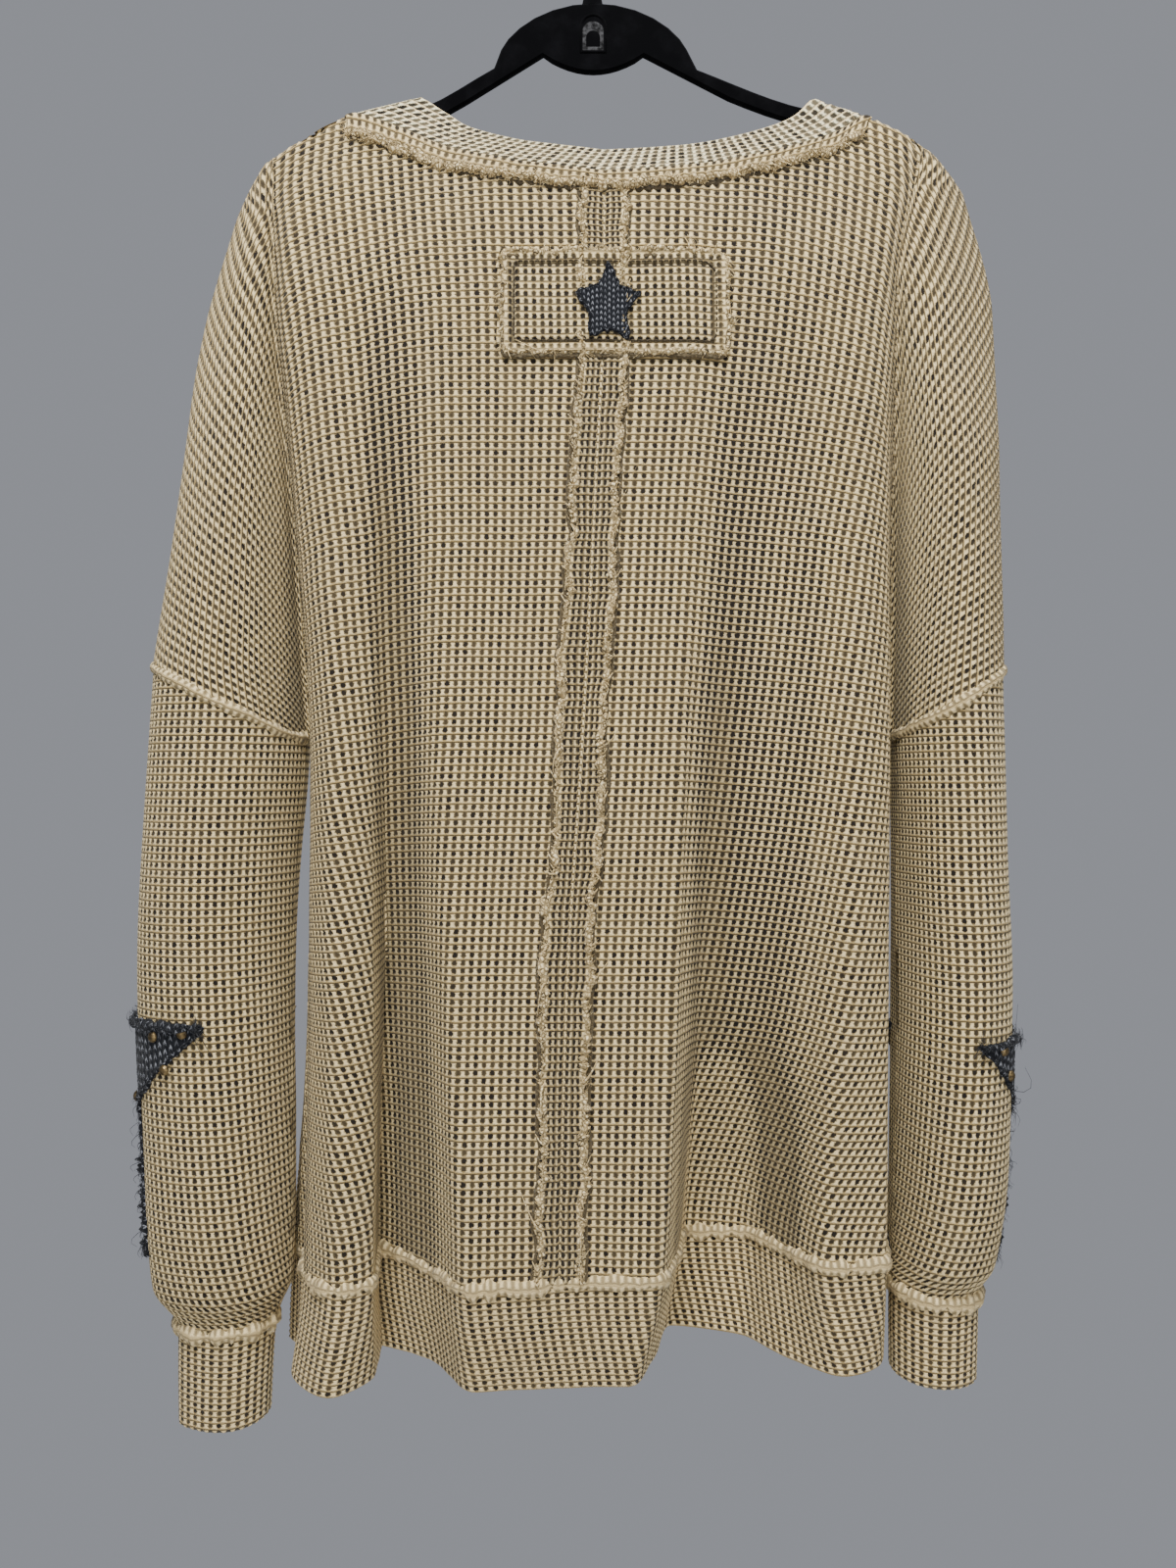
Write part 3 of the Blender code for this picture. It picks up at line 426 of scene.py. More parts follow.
def fan_cells(sheet: Grid, weave: Weave, slopes: Tuple[float, float],
              heights: Tuple[float, float]) -> Cut:
    """Lay cells on a shoulder whose knit is turned, on lines that fan out.

    Line i starts on the outer edge at the height Z0 and falls inwards by the
    tangent that runs evenly from slopes[0] at heights[0] to slopes[1] at
    heights[1]; the cells stand half a cell apart along it.

    Args:
        sheet: (levels, places, 6) dense points and normals from the outer edge inwards.
        weave: The knit's sizes.
        slopes: Tangents of the fall at the upper and at the lower height.
        heights: The two heights.

    Returns:
        The cut grid of points, with a line of the fan in each row.
    """
    sheet = sheet.transpose(1, 0, 2)
    depth = -sheet[..., 2]
    low, high = depth.min(), depth.max()
    dense = np.arange(math.floor(low), math.ceil(high) + 1.0)
    want = np.broadcast_to(dense[None, :], (len(sheet), len(dense)))
    past = (want < depth[:, :1]) | (want > depth[:, -1:])
    sheet = np.concatenate([resample(depth, sheet, want), past[..., None]], axis=-1)
    sheet = sheet.transpose(1, 0, 2)
    along = arc_length(sheet[..., :3] * np.array([1.0, 1.0, 0.0]))
    widest = along[:, -1].max()
    start = low - widest * slopes[0]
    step = 0.5
    places = np.arange(start, high, step)
    tangent = np.interp(places, (-heights[0], -heights[1]), slopes)
    lines = np.concatenate([[0.0], np.cumsum(step / np.sqrt(1 + tangent[:-1] ** 2))])
    pitch = weave.across * 1.12 / 2
    count = int(lines[-1] / pitch)
    origin = np.interp(np.arange(count) * pitch, lines, places)
    fall = np.interp(origin, places, tangent)
    steps = np.arange(int(2 * widest * math.sqrt(1 + slopes[0] ** 2) / weave.down) + 2)
    cosine = 1 / np.sqrt(1 + fall ** 2)
    inward = steps[None, :] * weave.down / 2 * cosine[:, None]
    depth_at = origin[:, None] + inward * fall[:, None]
    row = np.clip(depth_at - dense[0], 0, len(dense) - 1.001)
    below = row.astype(int)
    share = (row - below)[..., None]
    above, under = (resample(along[line], sheet[line], inward.reshape(-1, 1))
                    .reshape(*row.shape, -1) for line in (below.ravel(), below.ravel() + 1))
    found = above * (1 - share) + under * share
    longest = np.interp(row.ravel(), np.arange(len(dense)), along[:, -1]).reshape(row.shape)
    outside = (found[..., 6] > 0.5) | (inward > longest) | (depth_at < low) | (depth_at > high)
    cells = pairs(np.arange(count)[:, None] / 2.0, steps[None, :] / 2.0)
    return Cut(found[..., :3], unit(found[..., 3:6]), cells, outside)


class MeshMaker:
    """Gathers grids and loose faces, and makes one mesh object of them."""

    def __init__(self) -> None:
        """Start with nothing."""
        self.points: List[Grid] = []
        self.faces: List[Grid] = []
        self.cells: List[Grid] = []
        self.tone: List[Grid] = []
        self.count = 0

    def add(self, points: Grid, faces: Grid, cells: Optional[Grid] = None,
            tone: float = 0.0) -> None:
        """Add points (n, 3) in millimetres and quads (m, 4), with their cells and tone."""
        self.points.append(points)
        self.faces.append(faces + self.count)
        self.cells.append(np.zeros((len(points), 2)) if cells is None else cells)
        self.tone.append(np.broadcast_to(np.asarray(tone, float), (len(points),)))
        self.count += len(points)

    def add_grid(self, points: Grid, cells: Optional[Grid] = None, outside: Optional[Grid] = None,
                 tone: float = 0.0, *, outward: Grid, closed: bool = False,
                 looped: bool = False) -> None:
        """Add a grid of points as quads that face outwards.

        Args:
            points: (rows, columns, 3) in millimetres.
            cells: (rows, columns, 2) places on the knit.
            outside: (rows, columns) points past an edge; a quad of four is left out.
            tone: How pale the yarn is, or below 0 how much shade is painted on it.
            outward: A rough outward direction, or (rows, columns, 3) of them.
            closed: Whether the last column joins the first.
            looped: Whether the last row joins the first.
        """
        rows, columns = points.shape[:2]
        index = np.arange(rows * columns).reshape(rows, columns)
        if closed:
            index = np.concatenate([index, index[:, :1]], axis=1)
        if looped:
            index = np.concatenate([index, index[:1]])
        faces = quads(index)
        flat = points.reshape(-1, 3)
        if outside is not None:
            faces = faces[~outside.ravel()[faces].all(axis=1)]
        area = quad_areas(flat, faces)
        keep = np.linalg.norm(area, axis=1) > 0.02
        faces, area = faces[keep], area[keep]
        way = np.broadcast_to(np.asarray(outward, float), points.shape).reshape(-1, 3)
        if (area * way[faces[:, 0]]).sum() < 0:
            faces = faces[:, ::-1]
        self.add(flat, faces, None if cells is None else cells.reshape(-1, 2),
                 np.broadcast_to(np.asarray(tone, float), (rows, columns)).ravel())

    def add_slab(self, outer: Grid, inner: Grid, cells: Grid, tone: float = 0.0) -> None:
        """Add a closed wall between two grids of points of the same size.

        Args:
            outer: (rows, columns, 3) points of the outer side.
            inner: (rows, columns, 3) points of the inner side.
            cells: (rows, columns, 2) places on the knit.
            tone: How pale the yarn is, or below 0 how much shade is painted on it.
        """
        size = outer.shape[0] * outer.shape[1]
        index = np.arange(size).reshape(outer.shape[:2])
        face = quads(index)
        runs = ((index[0, :-1], index[0, 1:]), (index[-1, 1:], index[-1, :-1]),
                (index[1:, 0], index[:-1, 0]), (index[:-1, -1], index[1:, -1]))
        rims = [np.stack([a, b, b + size, a + size], axis=-1) for a, b in runs]
        faces = np.concatenate([face, face[:, ::-1] + size] + rims)
        way = (outer - inner).reshape(-1, 3)[face[:, 0]]
        if (quad_areas(outer.reshape(-1, 3), face) * way).sum() < 0:
            faces = faces[:, ::-1]
        points = np.concatenate([outer.reshape(-1, 3), inner.reshape(-1, 3)])
        shade = np.broadcast_to(np.asarray(tone, float), outer.shape[:2]).ravel()
        self.add(points, faces, np.concatenate([cells.reshape(-1, 2)] * 2),
                 np.concatenate([shade] * 2))

    def add_wall(self, cut: Cut, weave: Weave, tone: float = 0.0) -> None:
        """Add a woven outer side, and a plain inner side a cloth's thickness in."""
        high = CLOTH / 2 + weave.height(cut.cells) + weave.slack(cut.points)
        self.add_grid(cut.raised(high), cut.cells, cut.outside, tone, outward=cut.normals)
        inner = cut.thin(4)
        low = weave.slack(inner.points) - CLOTH / 2
        self.add_grid(inner.raised(low), inner.cells, inner.outside, outward=-inner.normals)

    def make(self, name: str, finish: bpy.types.Material) -> bpy.types.Object:
        """Make the object, with the knit's cells as its UV map and the tone attribute.

        Points that no face uses are left out.

        Args:
            name: Name of the object.
            finish: Its material.

        Returns:
            The object, at the origin.
        """
        points = np.concatenate(self.points) * MM
        faces = np.concatenate(self.faces)
        cells = np.concatenate(self.cells)
        tone = np.concatenate(self.tone)
        used = np.zeros(len(points), bool)
        used[faces.ravel()] = True
        number = np.cumsum(used) - 1
        faces = number[faces]
        points, cells, tone = points[used], cells[used], tone[used]
        mesh = bpy.data.meshes.new(name)
        mesh.vertices.add(len(points))
        mesh.vertices.foreach_set("co", points.ravel())
        mesh.loops.add(faces.size)
        mesh.loops.foreach_set("vertex_index", faces.ravel())
        mesh.polygons.add(len(faces))
        mesh.polygons.foreach_set("loop_start", np.arange(0, faces.size, 4))
        mesh.update(calc_edges=True)
        layer = mesh.uv_layers.new(name="knit")
        layer.uv.foreach_set("vector", cells[faces.ravel()].ravel())
        shade = mesh.attributes.new("tone", "FLOAT", "POINT")
        shade.data.foreach_set("value", tone)
        mesh.materials.append(finish)
        mesh.shade_smooth()
        item = bpy.data.objects.new(name, mesh)
        bpy.context.collection.objects.link(item)
        return item


# ------------------------------------------------------------------ body and arms
def dense_levels(low: float) -> Grid:
    """Heights about 2 mm apart from the top edge down, closer where the cloth turns there."""
    start = LEVELS["top"] - (ROLL + 2.0) * np.linspace(0, 1, 15) ** 2
    count = max(int((start[-1] - low) / 2.0), 2)
    return np.concatenate([start, np.linspace(start[-1], low, count + 1)[1:]])


def arm_section(row: Grid, angle: Grid, face: Face) -> Grid:
    """Half a section of an arm: inner edge at angle 0, outer edge at angle pi.

    With share = (1 - cos angle) / 2, a point lies share of the way from the inner
    to the outer edge, and bulges by sin(angle) ** (1.3 - 0.7 * share).

    Args:
        row: (levels, 8) values of the arm's columns.
        angle: (places,) angles.
        face: The surface it belongs to.

    Returns:
        (levels, places, 3) points.
    """
    in_x, in_z, out_x, out_z, back_y, front_y, back, front = (row[:, i, None] for i in range(8))
    share = (1 - np.cos(angle))[None, :] / 2
    rise = np.sin(angle)[None, :].clip(0) ** (1.3 - 0.7 * share)
    start, bulge = (back_y, back) if face is Face.BACK else (front_y, front)
    y = start * (1 - share) + face.value * bulge * rise
    return np.stack([in_x + (out_x - in_x) * share, y, in_z + (out_z - in_z) * share], axis=-1)


@dataclass
class Half:
    """One half of the back or the front, from the centre line to the side."""

    folds: Dict[str, tuple]
    arm: Dict[str, tuple]
    face: Face
    side: Side

    def __post_init__(self) -> None:
        """Work out the table of the fold lines and the place of each across the cloth."""
        top, x, y = (np.array(column, float) for column in zip(*self.folds.values()))
        self.level = -np.array(list(LEVELS.values()))
        z = np.repeat(-self.level[None, :], len(top), axis=0)
        z[:, 0] = top
        z[:, -2:] += HEM_TILT * x[:, -2:]
        lengths = np.hypot(np.diff(x, axis=0), np.diff(y, axis=0)).mean(axis=1)
        self.place = np.concatenate([[0.0], np.cumsum(lengths)])
        share = self.place / self.place[-1]
        under = self.arm["armhole"][ARM_COLUMNS.index("in_z")]
        z[:, 3] = UNDERARM_CENTRE * (1 - share) + under * share
        self.neck = self.place[list(self.folds).index("neck_point")]
        self.table = np.stack([x, y, z], axis=-1)
        self.outward = np.array([0.0, self.face.value, 0.0])

    def points(self, places: Grid, levels: Grid) -> Grid:
        """Points of the main field, (levels, places, 3).

        The fold lines are joined by a monotone cubic across the cloth, and the
        result by one down it; Y is drawn in to nothing over the hanger by a
        quarter circle of the radius ROLL.
        """
        across = smooth(self.place, self.table, places)
        grid = smooth(self.level, across.transpose(1, 0, 2), -np.asarray(levels, float))
        depth = grid[:1, :, 2] - grid[:, :, 2]
        inside = np.maximum(self.neck - places, 0.0)[None, :]
        grid[:, :, 1] *= roll(np.hypot(depth, inside))
        return grid

    def flap(self, angles: Grid, levels: Grid) -> Grid:
        """Points of the dropped shoulder, (levels, angles, 3), above the armhole."""
        names = ("shoulder", "yoke", "chest", "armhole")
        table = np.array([self.arm[name] for name in names], float)
        level = -np.array([LEVELS[n] for n in ("top", "yoke", "chest", "underarm")])
        grid = arm_section(smooth(level, table, -np.asarray(levels, float)), angles, self.face)
        depth = grid[:1, :, 2] - grid[:, :, 2]
        grid[:, :, 1] *= roll(np.maximum(depth, 0.0))
        return grid

    def groove(self, shares: Grid, levels: Grid) -> Grid:
        """The turn at the bottom of the fold between panel and flap: half a circle."""
        inner = self.points(self.place[-1:], levels)[:, 0]
        outer = self.flap(np.array([0.0]), levels)[:, 0]
        angle = shares * math.pi
        middle, half = (inner + outer) / 2, (inner - outer) / 2
        grid = middle[:, None] + half[:, None] * np.cos(angle)[None, :, None]
        depth = np.maximum(inner[0, 2] - inner[:, 2], 0.0)
        reach = GROOVE * smooth((0, 60, 400), (0.0, 0.8, 1.0), depth)
        grid[:, :, 1] -= self.face.value * reach[:, None] * np.sin(angle)[None, :]
        return grid

    def side_wall(self, shares: Grid, levels: Grid) -> Grid:
        """The strip from the field's edge to the side seam, below the underarm."""
        edge = self.points(self.place[-1:], np.append(LEVELS["top"], levels))[1:, 0]
        target = edge.copy()
        target[:, :2] = side_seam(self.side, edge[:, 2])
        target[:, 1] += self.face.value * 0.2
        grid = edge[:, None] * (1 - shares[None, :, None]) + target[:, None] * shares[None, :, None]
        grid[:, :, 0] += self.side.value * SIDE_BULGE * np.sin(shares * math.pi / 2)[None, :]
        return grid


def side_seam(side: Side, z: Grid) -> Grid:
    """X and y of a side seam at a height."""
    level = -np.array([LEVELS[n] for n in ("underarm", "waist", "hem")])
    return smooth(level, np.array(SIDE_SEAM[side.value]), -z)


@dataclass
class Arm:
    """A sleeve with its cuff, as sections between its inner and outer edges."""

    stations: Dict[str, tuple]

    def __post_init__(self) -> None:
        """Work out the table of the sections and their levels."""
        names = list(self.stations)
        self.table = np.array([self.stations[name] for name in names], float)
        self.level = -(self.table[:, 1] + self.table[:, 3]) / 2
        self.start = self.level[names.index("armhole")]
        self.seam = self.level[names.index("cuff_seam")]
        self.end = self.level[-1]

    def loops(self, places: Grid, finer: int = 4) -> Grid:
        """Closed sections, (levels, points, 3): inner edge, back, outer edge, front, inner."""
        row = smooth(self.level, self.table, places)
        back = arm_section(row, np.linspace(0, math.pi, finer * 10 + 1), Face.BACK)
        front = arm_section(row, np.linspace(math.pi, 0, finer * 8 + 1), Face.FRONT)
        share = np.linspace(0, 1, finer * 2 + 1)[None, :, None]
        inner = front[:, -1:] * (1 - share) + back[:, :1] * share
        return np.concatenate([back, front[:, 1:], inner[:, 1:]], axis=1)

    def tube(self, low: float, high: float, step: float = 2.0) -> Grid:
        """Dense closed sections between two levels, with their normals."""
        loops = self.loops(np.linspace(low, high, max(int((high - low) / step), 4) + 1))
        middle = loops.mean(axis=1, keepdims=True)
        return with_normals(loops, (loops - middle) * np.array([1.0, 1.0, 0.0]), closed=True)

    def wrap(self, reach: Grid, height: Grid) -> Tuple[Grid, Grid]:
        """Points and normals at distances round the sleeve from its outer edge.

        Args:
            reach: (n,) distances; above zero they lie on the back.
            height: (n,) heights.

        Returns:
            (n, 3) points and (n, 3) outward unit normals.
        """
        loop = self.loops(-np.asarray(height, float), 6)
        along = arc_length(loop)
        outer = along[:, 60:61]
        want = outer - np.stack([reach, reach + 1.5, reach - 1.5], axis=1)
        found = resample(along, loop, want)
        point = found[:, 0].copy()
        point[:, 2] = height
        way = found[:, 2] - found[:, 1]
        normal = unit(np.stack([way[:, 1], -way[:, 0], np.zeros(len(way))], axis=-1))
        middle = smooth(self.level, self.table[:, [0, 2]], -np.asarray(height, float)).mean(axis=1)
        rough = point - np.stack([middle, np.full(len(middle), 2.0), point[:, 2]], axis=-1)
        flip = np.where((normal * rough).sum(axis=1, keepdims=True) < 0, -1.0, 1.0)
        return point, normal * flip


# ------------------------------------------------------------------ rolls and threads
def add_threads(maker: MeshMaker, lines: Grid, up: Grid, radius: Grid, tone: float,
                sides: int = 3) -> None:
    """Add many threads at once, each a line swept by a small polygon.

    Args:
        maker: Mesh to add to.
        lines: (threads, sections, 3) middle lines.
        up: (threads, 3) a direction across each thread.
        radius: (threads, sections) radii.
        tone: How pale the yarn is.
        sides: Number of sides.
    """
    way = unit(np.gradient(lines, axis=1))
    side = unit(np.cross(way, np.broadcast_to(up[:, None], way.shape)))
    over = np.cross(side, way)
    angle = np.arange(sides) * 2 * math.pi / sides
    ring = side[:, :, None] * np.cos(angle)[:, None] + over[:, :, None] * np.sin(angle)[:, None]
    points = lines[:, :, None] + ring * radius[:, :, None, None]
    threads, sections = lines.shape[:2]
    index = np.arange(threads * sections * sides).reshape(threads, sections, sides)
    wide = np.concatenate([index, index[..., :1]], axis=-1)
    faces = np.stack([wide[:, :-1, :-1], wide[:, :-1, 1:], wide[:, 1:, 1:], wide[:, 1:, :-1]], -1)
    maker.add(points.reshape(-1, 3), faces.reshape(-1, 4), tone=tone)


@dataclass(frozen=True)
class Roll:
    """A soft, uneven roll of cloth along a line on a surface (millimetres)."""

    width: float
    height: float
    # tone: how pale the roll is; below 0 the roll is a dark strip of painted shadow
    tone: float
    rough: float
    seed: int = 5

    def add(self, maker: MeshMaker, path: Grid, normals: Grid, closed: bool = False) -> None:
        """Add the roll.

        The section is half an ellipse of the width and height, times 1 + rough *
        noise along the line, sunk a little at its sides.

        Args:
            maker: Mesh to add to.
            path: (n, 3) points on the surface.
            normals: (n, 3) unit normals there.
            closed: Whether the line is a ring.
        """
        ends = (path[-1:], path, path[:1]) if closed else (path[:1], path, path[-1:])
        way = unit(np.concatenate(ends)[2:] - np.concatenate(ends)[:-2])
        side, up = unit(np.cross(way, normals))[:, None], normals[:, None]
        seed, rough = self.seed, self.rough
        grow = 1 + rough * (0.12 * noise(path, 17.0, seed) + 0.2 * noise(path, 4.2, seed + 1))
        sway = rough * (noise(path, 31.0, seed + 2) * 0.4 + noise(path, 5.0, seed + 3) * 0.3)
        angle = np.linspace(-0.25, math.pi + 0.25, 8)
        wide = np.cos(angle)[None] * (self.width / 2 * grow)[:, None] + sway[:, None]
        high = np.sin(angle)[None] * (self.height * grow)[:, None]
        ring = path[:, None] + side * wide[..., None] + up * high[..., None]
        dented = ring + noise(ring, 2.3, seed + 4)[..., None] * 0.12 * rough * up
        outward = side * np.cos(angle)[None, :, None] + up * np.sin(angle)[None, :, None]
        along = arc_length(ring[:, 4][None])[0]
        cells = pairs(along[:, None] / 4.7, 0.25 + angle[None] * 0.55)
        if closed:
            cells = np.concatenate([cells, cells[-1:] + np.array([0.4, 0.0])])
            dented, outward = (np.concatenate([grid, grid[:1]]) for grid in (dented, outward))
        maker.add_grid(dented, cells, outward=outward, tone=self.tone)


@dataclass(frozen=True)
class Fray:
    """Loose yarn ends along a raw edge (millimetres)."""

    length: float
    spacing: float
    thick: float
    curl: float
    lift: float
    tone: float
    seed: int

    def add(self, maker: MeshMaker, path: Grid, ways: Grid, normals: Grid) -> None:
        """Add the ends, each a thread that leaves the edge, bends and thins out.

        With t along a thread, it lies at length * (way * t + side * curl * t^2 +
        up * lift * sin(2.4 t)), with its own length, curl and lift.

        Args:
            maker: Mesh to add to.
            path: (n, 3) points of the edge.
            ways: (n, 3) directions out of the edge, along the surface.
            normals: (n, 3) normals of the surface.
        """
        draw = np.random.default_rng(self.seed)
        along = arc_length(path[None])
        count = max(int(along[0, -1] / self.spacing), 1)
        at = np.sort(draw.uniform(0, along[0, -1], count))
        values = np.concatenate([path, ways, normals], axis=1)[None]
        read = resample(along, values, at[None])[0]
        root, way, up = read[:, :3], unit(read[:, 3:6]), unit(read[:, 6:])
        side = np.cross(way, up)
        length = self.length * draw.lognormal(-0.25, 0.5, count)[:, None, None]
        bend = draw.normal(0, self.curl, (count, 1, 1))
        rise = np.abs(draw.normal(self.lift, self.lift * 0.7, (count, 1, 1)))
        lean = draw.normal(0, 0.35, (count, 1, 1))
        t = np.linspace(0, 1, 5)[None, :, None]
        wave = np.sin(t * draw.uniform(3, 9, (count, 1, 1)) + draw.uniform(0, 6, (count, 1, 1))) * t
        line = root[:, None] + length * (
            way[:, None] * (t - 0.25) + side[:, None] * (bend * t * t + lean * t + 0.12 * wave)
            + up[:, None] * (rise * np.sin(2.4 * t) + 0.06 * wave))
        radius = self.thick / 2 * draw.uniform(0.7, 1.3, (count, 1)) * (1 - 0.65 * t[..., 0])
        add_threads(maker, line, up, radius, self.tone)


# ------------------------------------------------------------------ finishes
class Wire:
    """A value in a node tree; arithmetic on it adds Math nodes."""

    def __init__(self, nodes: "Nodes", socket: bpy.types.NodeSocket) -> None:
        """Keep the tree's builder and the socket that gives the value."""
        self.nodes, self.socket = nodes, socket

    def __add__(self, other: object) -> "Wire":
        """The sum."""
        return self.nodes.math("ADD", self, other)

    def __sub__(self, other: object) -> "Wire":
        """The difference."""
        return self.nodes.math("SUBTRACT", self, other)

    def __rsub__(self, other: float) -> "Wire":
        """A number less this value."""
        return self.nodes.math("SUBTRACT", other, self)

    def __mul__(self, other: object) -> "Wire":
        """The product."""
        return self.nodes.math("MULTIPLY", self, other)

    def __pow__(self, power: float) -> "Wire":
        """The power."""
        return self.nodes.math("POWER", self, power)

    def __abs__(self) -> "Wire":
        """The absolute value."""
        return self.nodes.math("ABSOLUTE", self)

    def max(self, other: object) -> "Wire":
        """The larger of the two."""
        return self.nodes.math("MAXIMUM", self, other)

    def min(self, other: object) -> "Wire":
        """The smaller of the two."""
        return self.nodes.math("MINIMUM", self, other)


class Nodes:
    """Builds the node tree of one material."""

    def __init__(self, name: str) -> None:
        """Make a material with a Principled shader, and keep its tree."""
        self.item = bpy.data.materials.new(name)
        self.item.use_nodes = True
        self.tree = self.item.node_tree
        self.shader = self.tree.nodes["Principled BSDF"]
        self.place = self.new("TexCoord", "Object")

    def put(self, socket: bpy.types.NodeSocket, value: object) -> None:
        """Link a wire to a socket, or set its value; a colour gets its alpha."""
        if isinstance(value, Wire):
            self.tree.links.new(value.socket, socket)
        else:
            socket.default_value = (*value, 1.0) if isinstance(value, tuple) else value

    def new(self, kind: str, output: object = 0, **sockets: object) -> Wire:
        """Add a node and set its sockets.

        Args:
            kind: Type of the node, without ShaderNode.
            output: Number or name of the output.
            sockets: Values by name (spaces as _) or i0, i1 ... for numbers; a
                property of the node by set_ and its name.

        Returns:
            The output.
        """
        node = self.tree.nodes.new("ShaderNode" + kind)
        for key, value in sockets.items():
            if key.startswith("set_"):
                setattr(node, key[4:], value)
            else:
                number = key[0] == "i" and key[1:].isdigit()
                self.put(node.inputs[int(key[1:]) if number else key.replace("_", " ")], value)
        return Wire(self, node.outputs[output])

    def math(self, operation: str, *values: object) -> Wire:
        """A Math node's result."""
        sockets = {f"i{i}": value for i, value in enumerate(values)}
        return self.new("Math", set_operation=operation, **sockets)

    def noise(self, scale: float, detail: float = 3.0, rough: float = 0.55) -> Wire:
        """Noise in the object's own coordinates."""
        return self.new("TexNoise", Vector=self.place, Scale=scale, Detail=detail,
                        Roughness=rough)

    def mix(self, share: Wire, first: object, second: object) -> Wire:
        """A mix of two colours or wires."""
        return self.new("Mix", 2, set_data_type="RGBA", i0=share, i6=first, i7=second)

    def span(self, value: Wire, low: float, high: float, to_low: float = 0.0,
             to_high: float = 1.0) -> Wire:
        """A value moved smoothly from one span to another, and held inside it."""
        return self.new("MapRange", set_interpolation_type="SMOOTHSTEP", i0=value, i1=low,
                        i2=high, i3=to_low, i4=to_high)

    def knit(self) -> Wire:
        """The place on the knit, in cells."""
        return self.new("UVMap", set_uv_map="knit")

    def tone(self) -> Wire:
        """How pale the yarn is, or below zero how dark: painted shade, and the dark stitches."""
        return self.new("Attribute", "Fac", set_attribute_name="tone")

    def feed(self, **values: object) -> None:
        """Set or link sockets of the shader by name (spaces as _)."""
        for key, value in values.items():
            self.put(self.shader.inputs[key.replace("_", " ")], value)

    def bump(self, height: Wire, strength: float, distance: float) -> None:
        """Feed a bump to the shader's normal."""
        self.feed(Normal=self.new("Bump", Strength=strength, Distance=distance, Height=height))


@dataclass(frozen=True)
class Finish:
    """A named material; each kind of finish paints it in its own way."""

    name: str

    def make(self) -> bpy.types.Material:
        """Build the material."""
        nodes = Nodes(self.name)
        self.paint(nodes)
        return nodes.item

    def paint(self, n: Nodes) -> None:
        """Feed the shader."""
        raise NotImplementedError


@dataclass(frozen=True)
class WaffleFinish(Finish):
    """Mineral-washed waffle knit: pale ridges, with shade painted dark into the pits between them.
    """

    ridge: Colour
    shade: Colour
    # pit: near-black colour of the shade painted into each recess of the knit
    pit: Colour
    pale: Colour = (0.97, 0.78, 0.44)
    # colour of the painted shade where the tone is below 0: folds, seam lines, stitched groove
    painted_shade: Colour = (0.045, 0.033, 0.018)
    washed: Colour = (0.50, 0.37, 0.18)
    grimy: Colour = (0.62, 0.50, 0.30)
    pit_size: float = 0.58
    # place and strength of the thin painted shadow line between rows
    line: float = 0.2
    row_shadow_depth: float = 0.85
    bump: float = 0.8

    def paint(self, n: Nodes) -> None:
        """Feed the shader.

        In each cell a dark pit, 1 minus the third-power distance from its middle,
        lies beside a thin dark line that joins the pits of a row; a bright knot
        stands between two pits.  The pit is shade painted into the knit's recess and
        the line a painted shadow between rows; the knot is partly paler yarn and
        partly painted light on the raised crossing.  Yarn noise roughens all edges,
        and each cell has its own depth of colour.  A tone above 0 fades the pits and
        makes the yarn paler, and one below 0 darkens it with painted shade in folds,
        along seam lines and in the stitched groove; past -0.5 it fades the pits too.
        """
        knit, tone = n.knit(), n.tone()
        plain = 1.0 - tone.max(tone * -2.0 - 1.0).min(1.0)
        yarn, fuzz = n.noise(900.0, 2.0, 0.6), n.noise(2600.0, 2.0, 0.6)
        cell = n.new("VectorMath", set_operation="FRACTION", i0=knit)
        number = n.new("VectorMath", set_operation="FLOOR", i0=knit)
        own = n.new("TexWhiteNoise", "Value", Vector=number)
        u, v = (n.new("SeparateXYZ", axis, i0=cell) for axis in (0, 1))
        ax, ay = abs(u - 0.5), abs(v - 0.54)
        away = ((ax * 2.0) ** 3.0 + (ay * 1.75) ** 3.0) ** 0.333
        jitter = (yarn - 0.5) * 0.8
        pit = n.span(away + jitter, self.pit_size - 0.14, self.pit_size + 0.18, 1.0, 0.0)
        # thin painted shadow line between rows
        row = abs(v - self.line) + jitter * 0.12
        line = n.span(row, 0.02, 0.10, 1.0, 0.0) * self.row_shadow_depth
        # dark: the painted shade of the pits and row lines, faded by the tone
        dark = (pit * n.span(own, 0.0, 1.0, 0.86, 1.0)).max(line) * plain
        # bright knot between the pits: partly paler yarn, partly painted light on the raised
        # crossing
        between = ((0.5 - ax) * 2.3).max(abs(v - 0.66) * 2.2)
        knot = n.span(between + jitter * 0.7, 0.5, 1.0, 1.0, 0.0)
        body = n.mix(knot, self.shade, self.ridge)
        body = n.mix(n.span(n.noise(9.0), 0.35, 0.68, 0.0, 0.22), body, self.washed)
        body = n.mix(n.span(n.noise(60.0), 0.45, 0.75, 0.0, 0.2), body, self.grimy)
        body = n.mix(n.span(tone, 0.0, 1.3, 0.0, 1.0), body, self.pale)
        body = n.mix(n.span(fuzz, 0.3, 0.7, 0.0, 0.4), body, self.shade)
        # a tone below 0 mixes in the colour of the painted shade
        body = n.mix((tone * -1.0).max(0.0), body, self.painted_shade)
        n.feed(Base_Color=n.mix(dark, body, self.pit), Roughness=0.92, Specular_IOR_Level=0.2,
               Sheen_Weight=0.2, Sheen_Roughness=0.45, Sheen_Tint=(0.95, 0.88, 0.7))
        n.bump(dark * -1.0 + yarn * 0.6 + knot * 0.5 + fuzz * 0.3, self.bump, 0.0009)


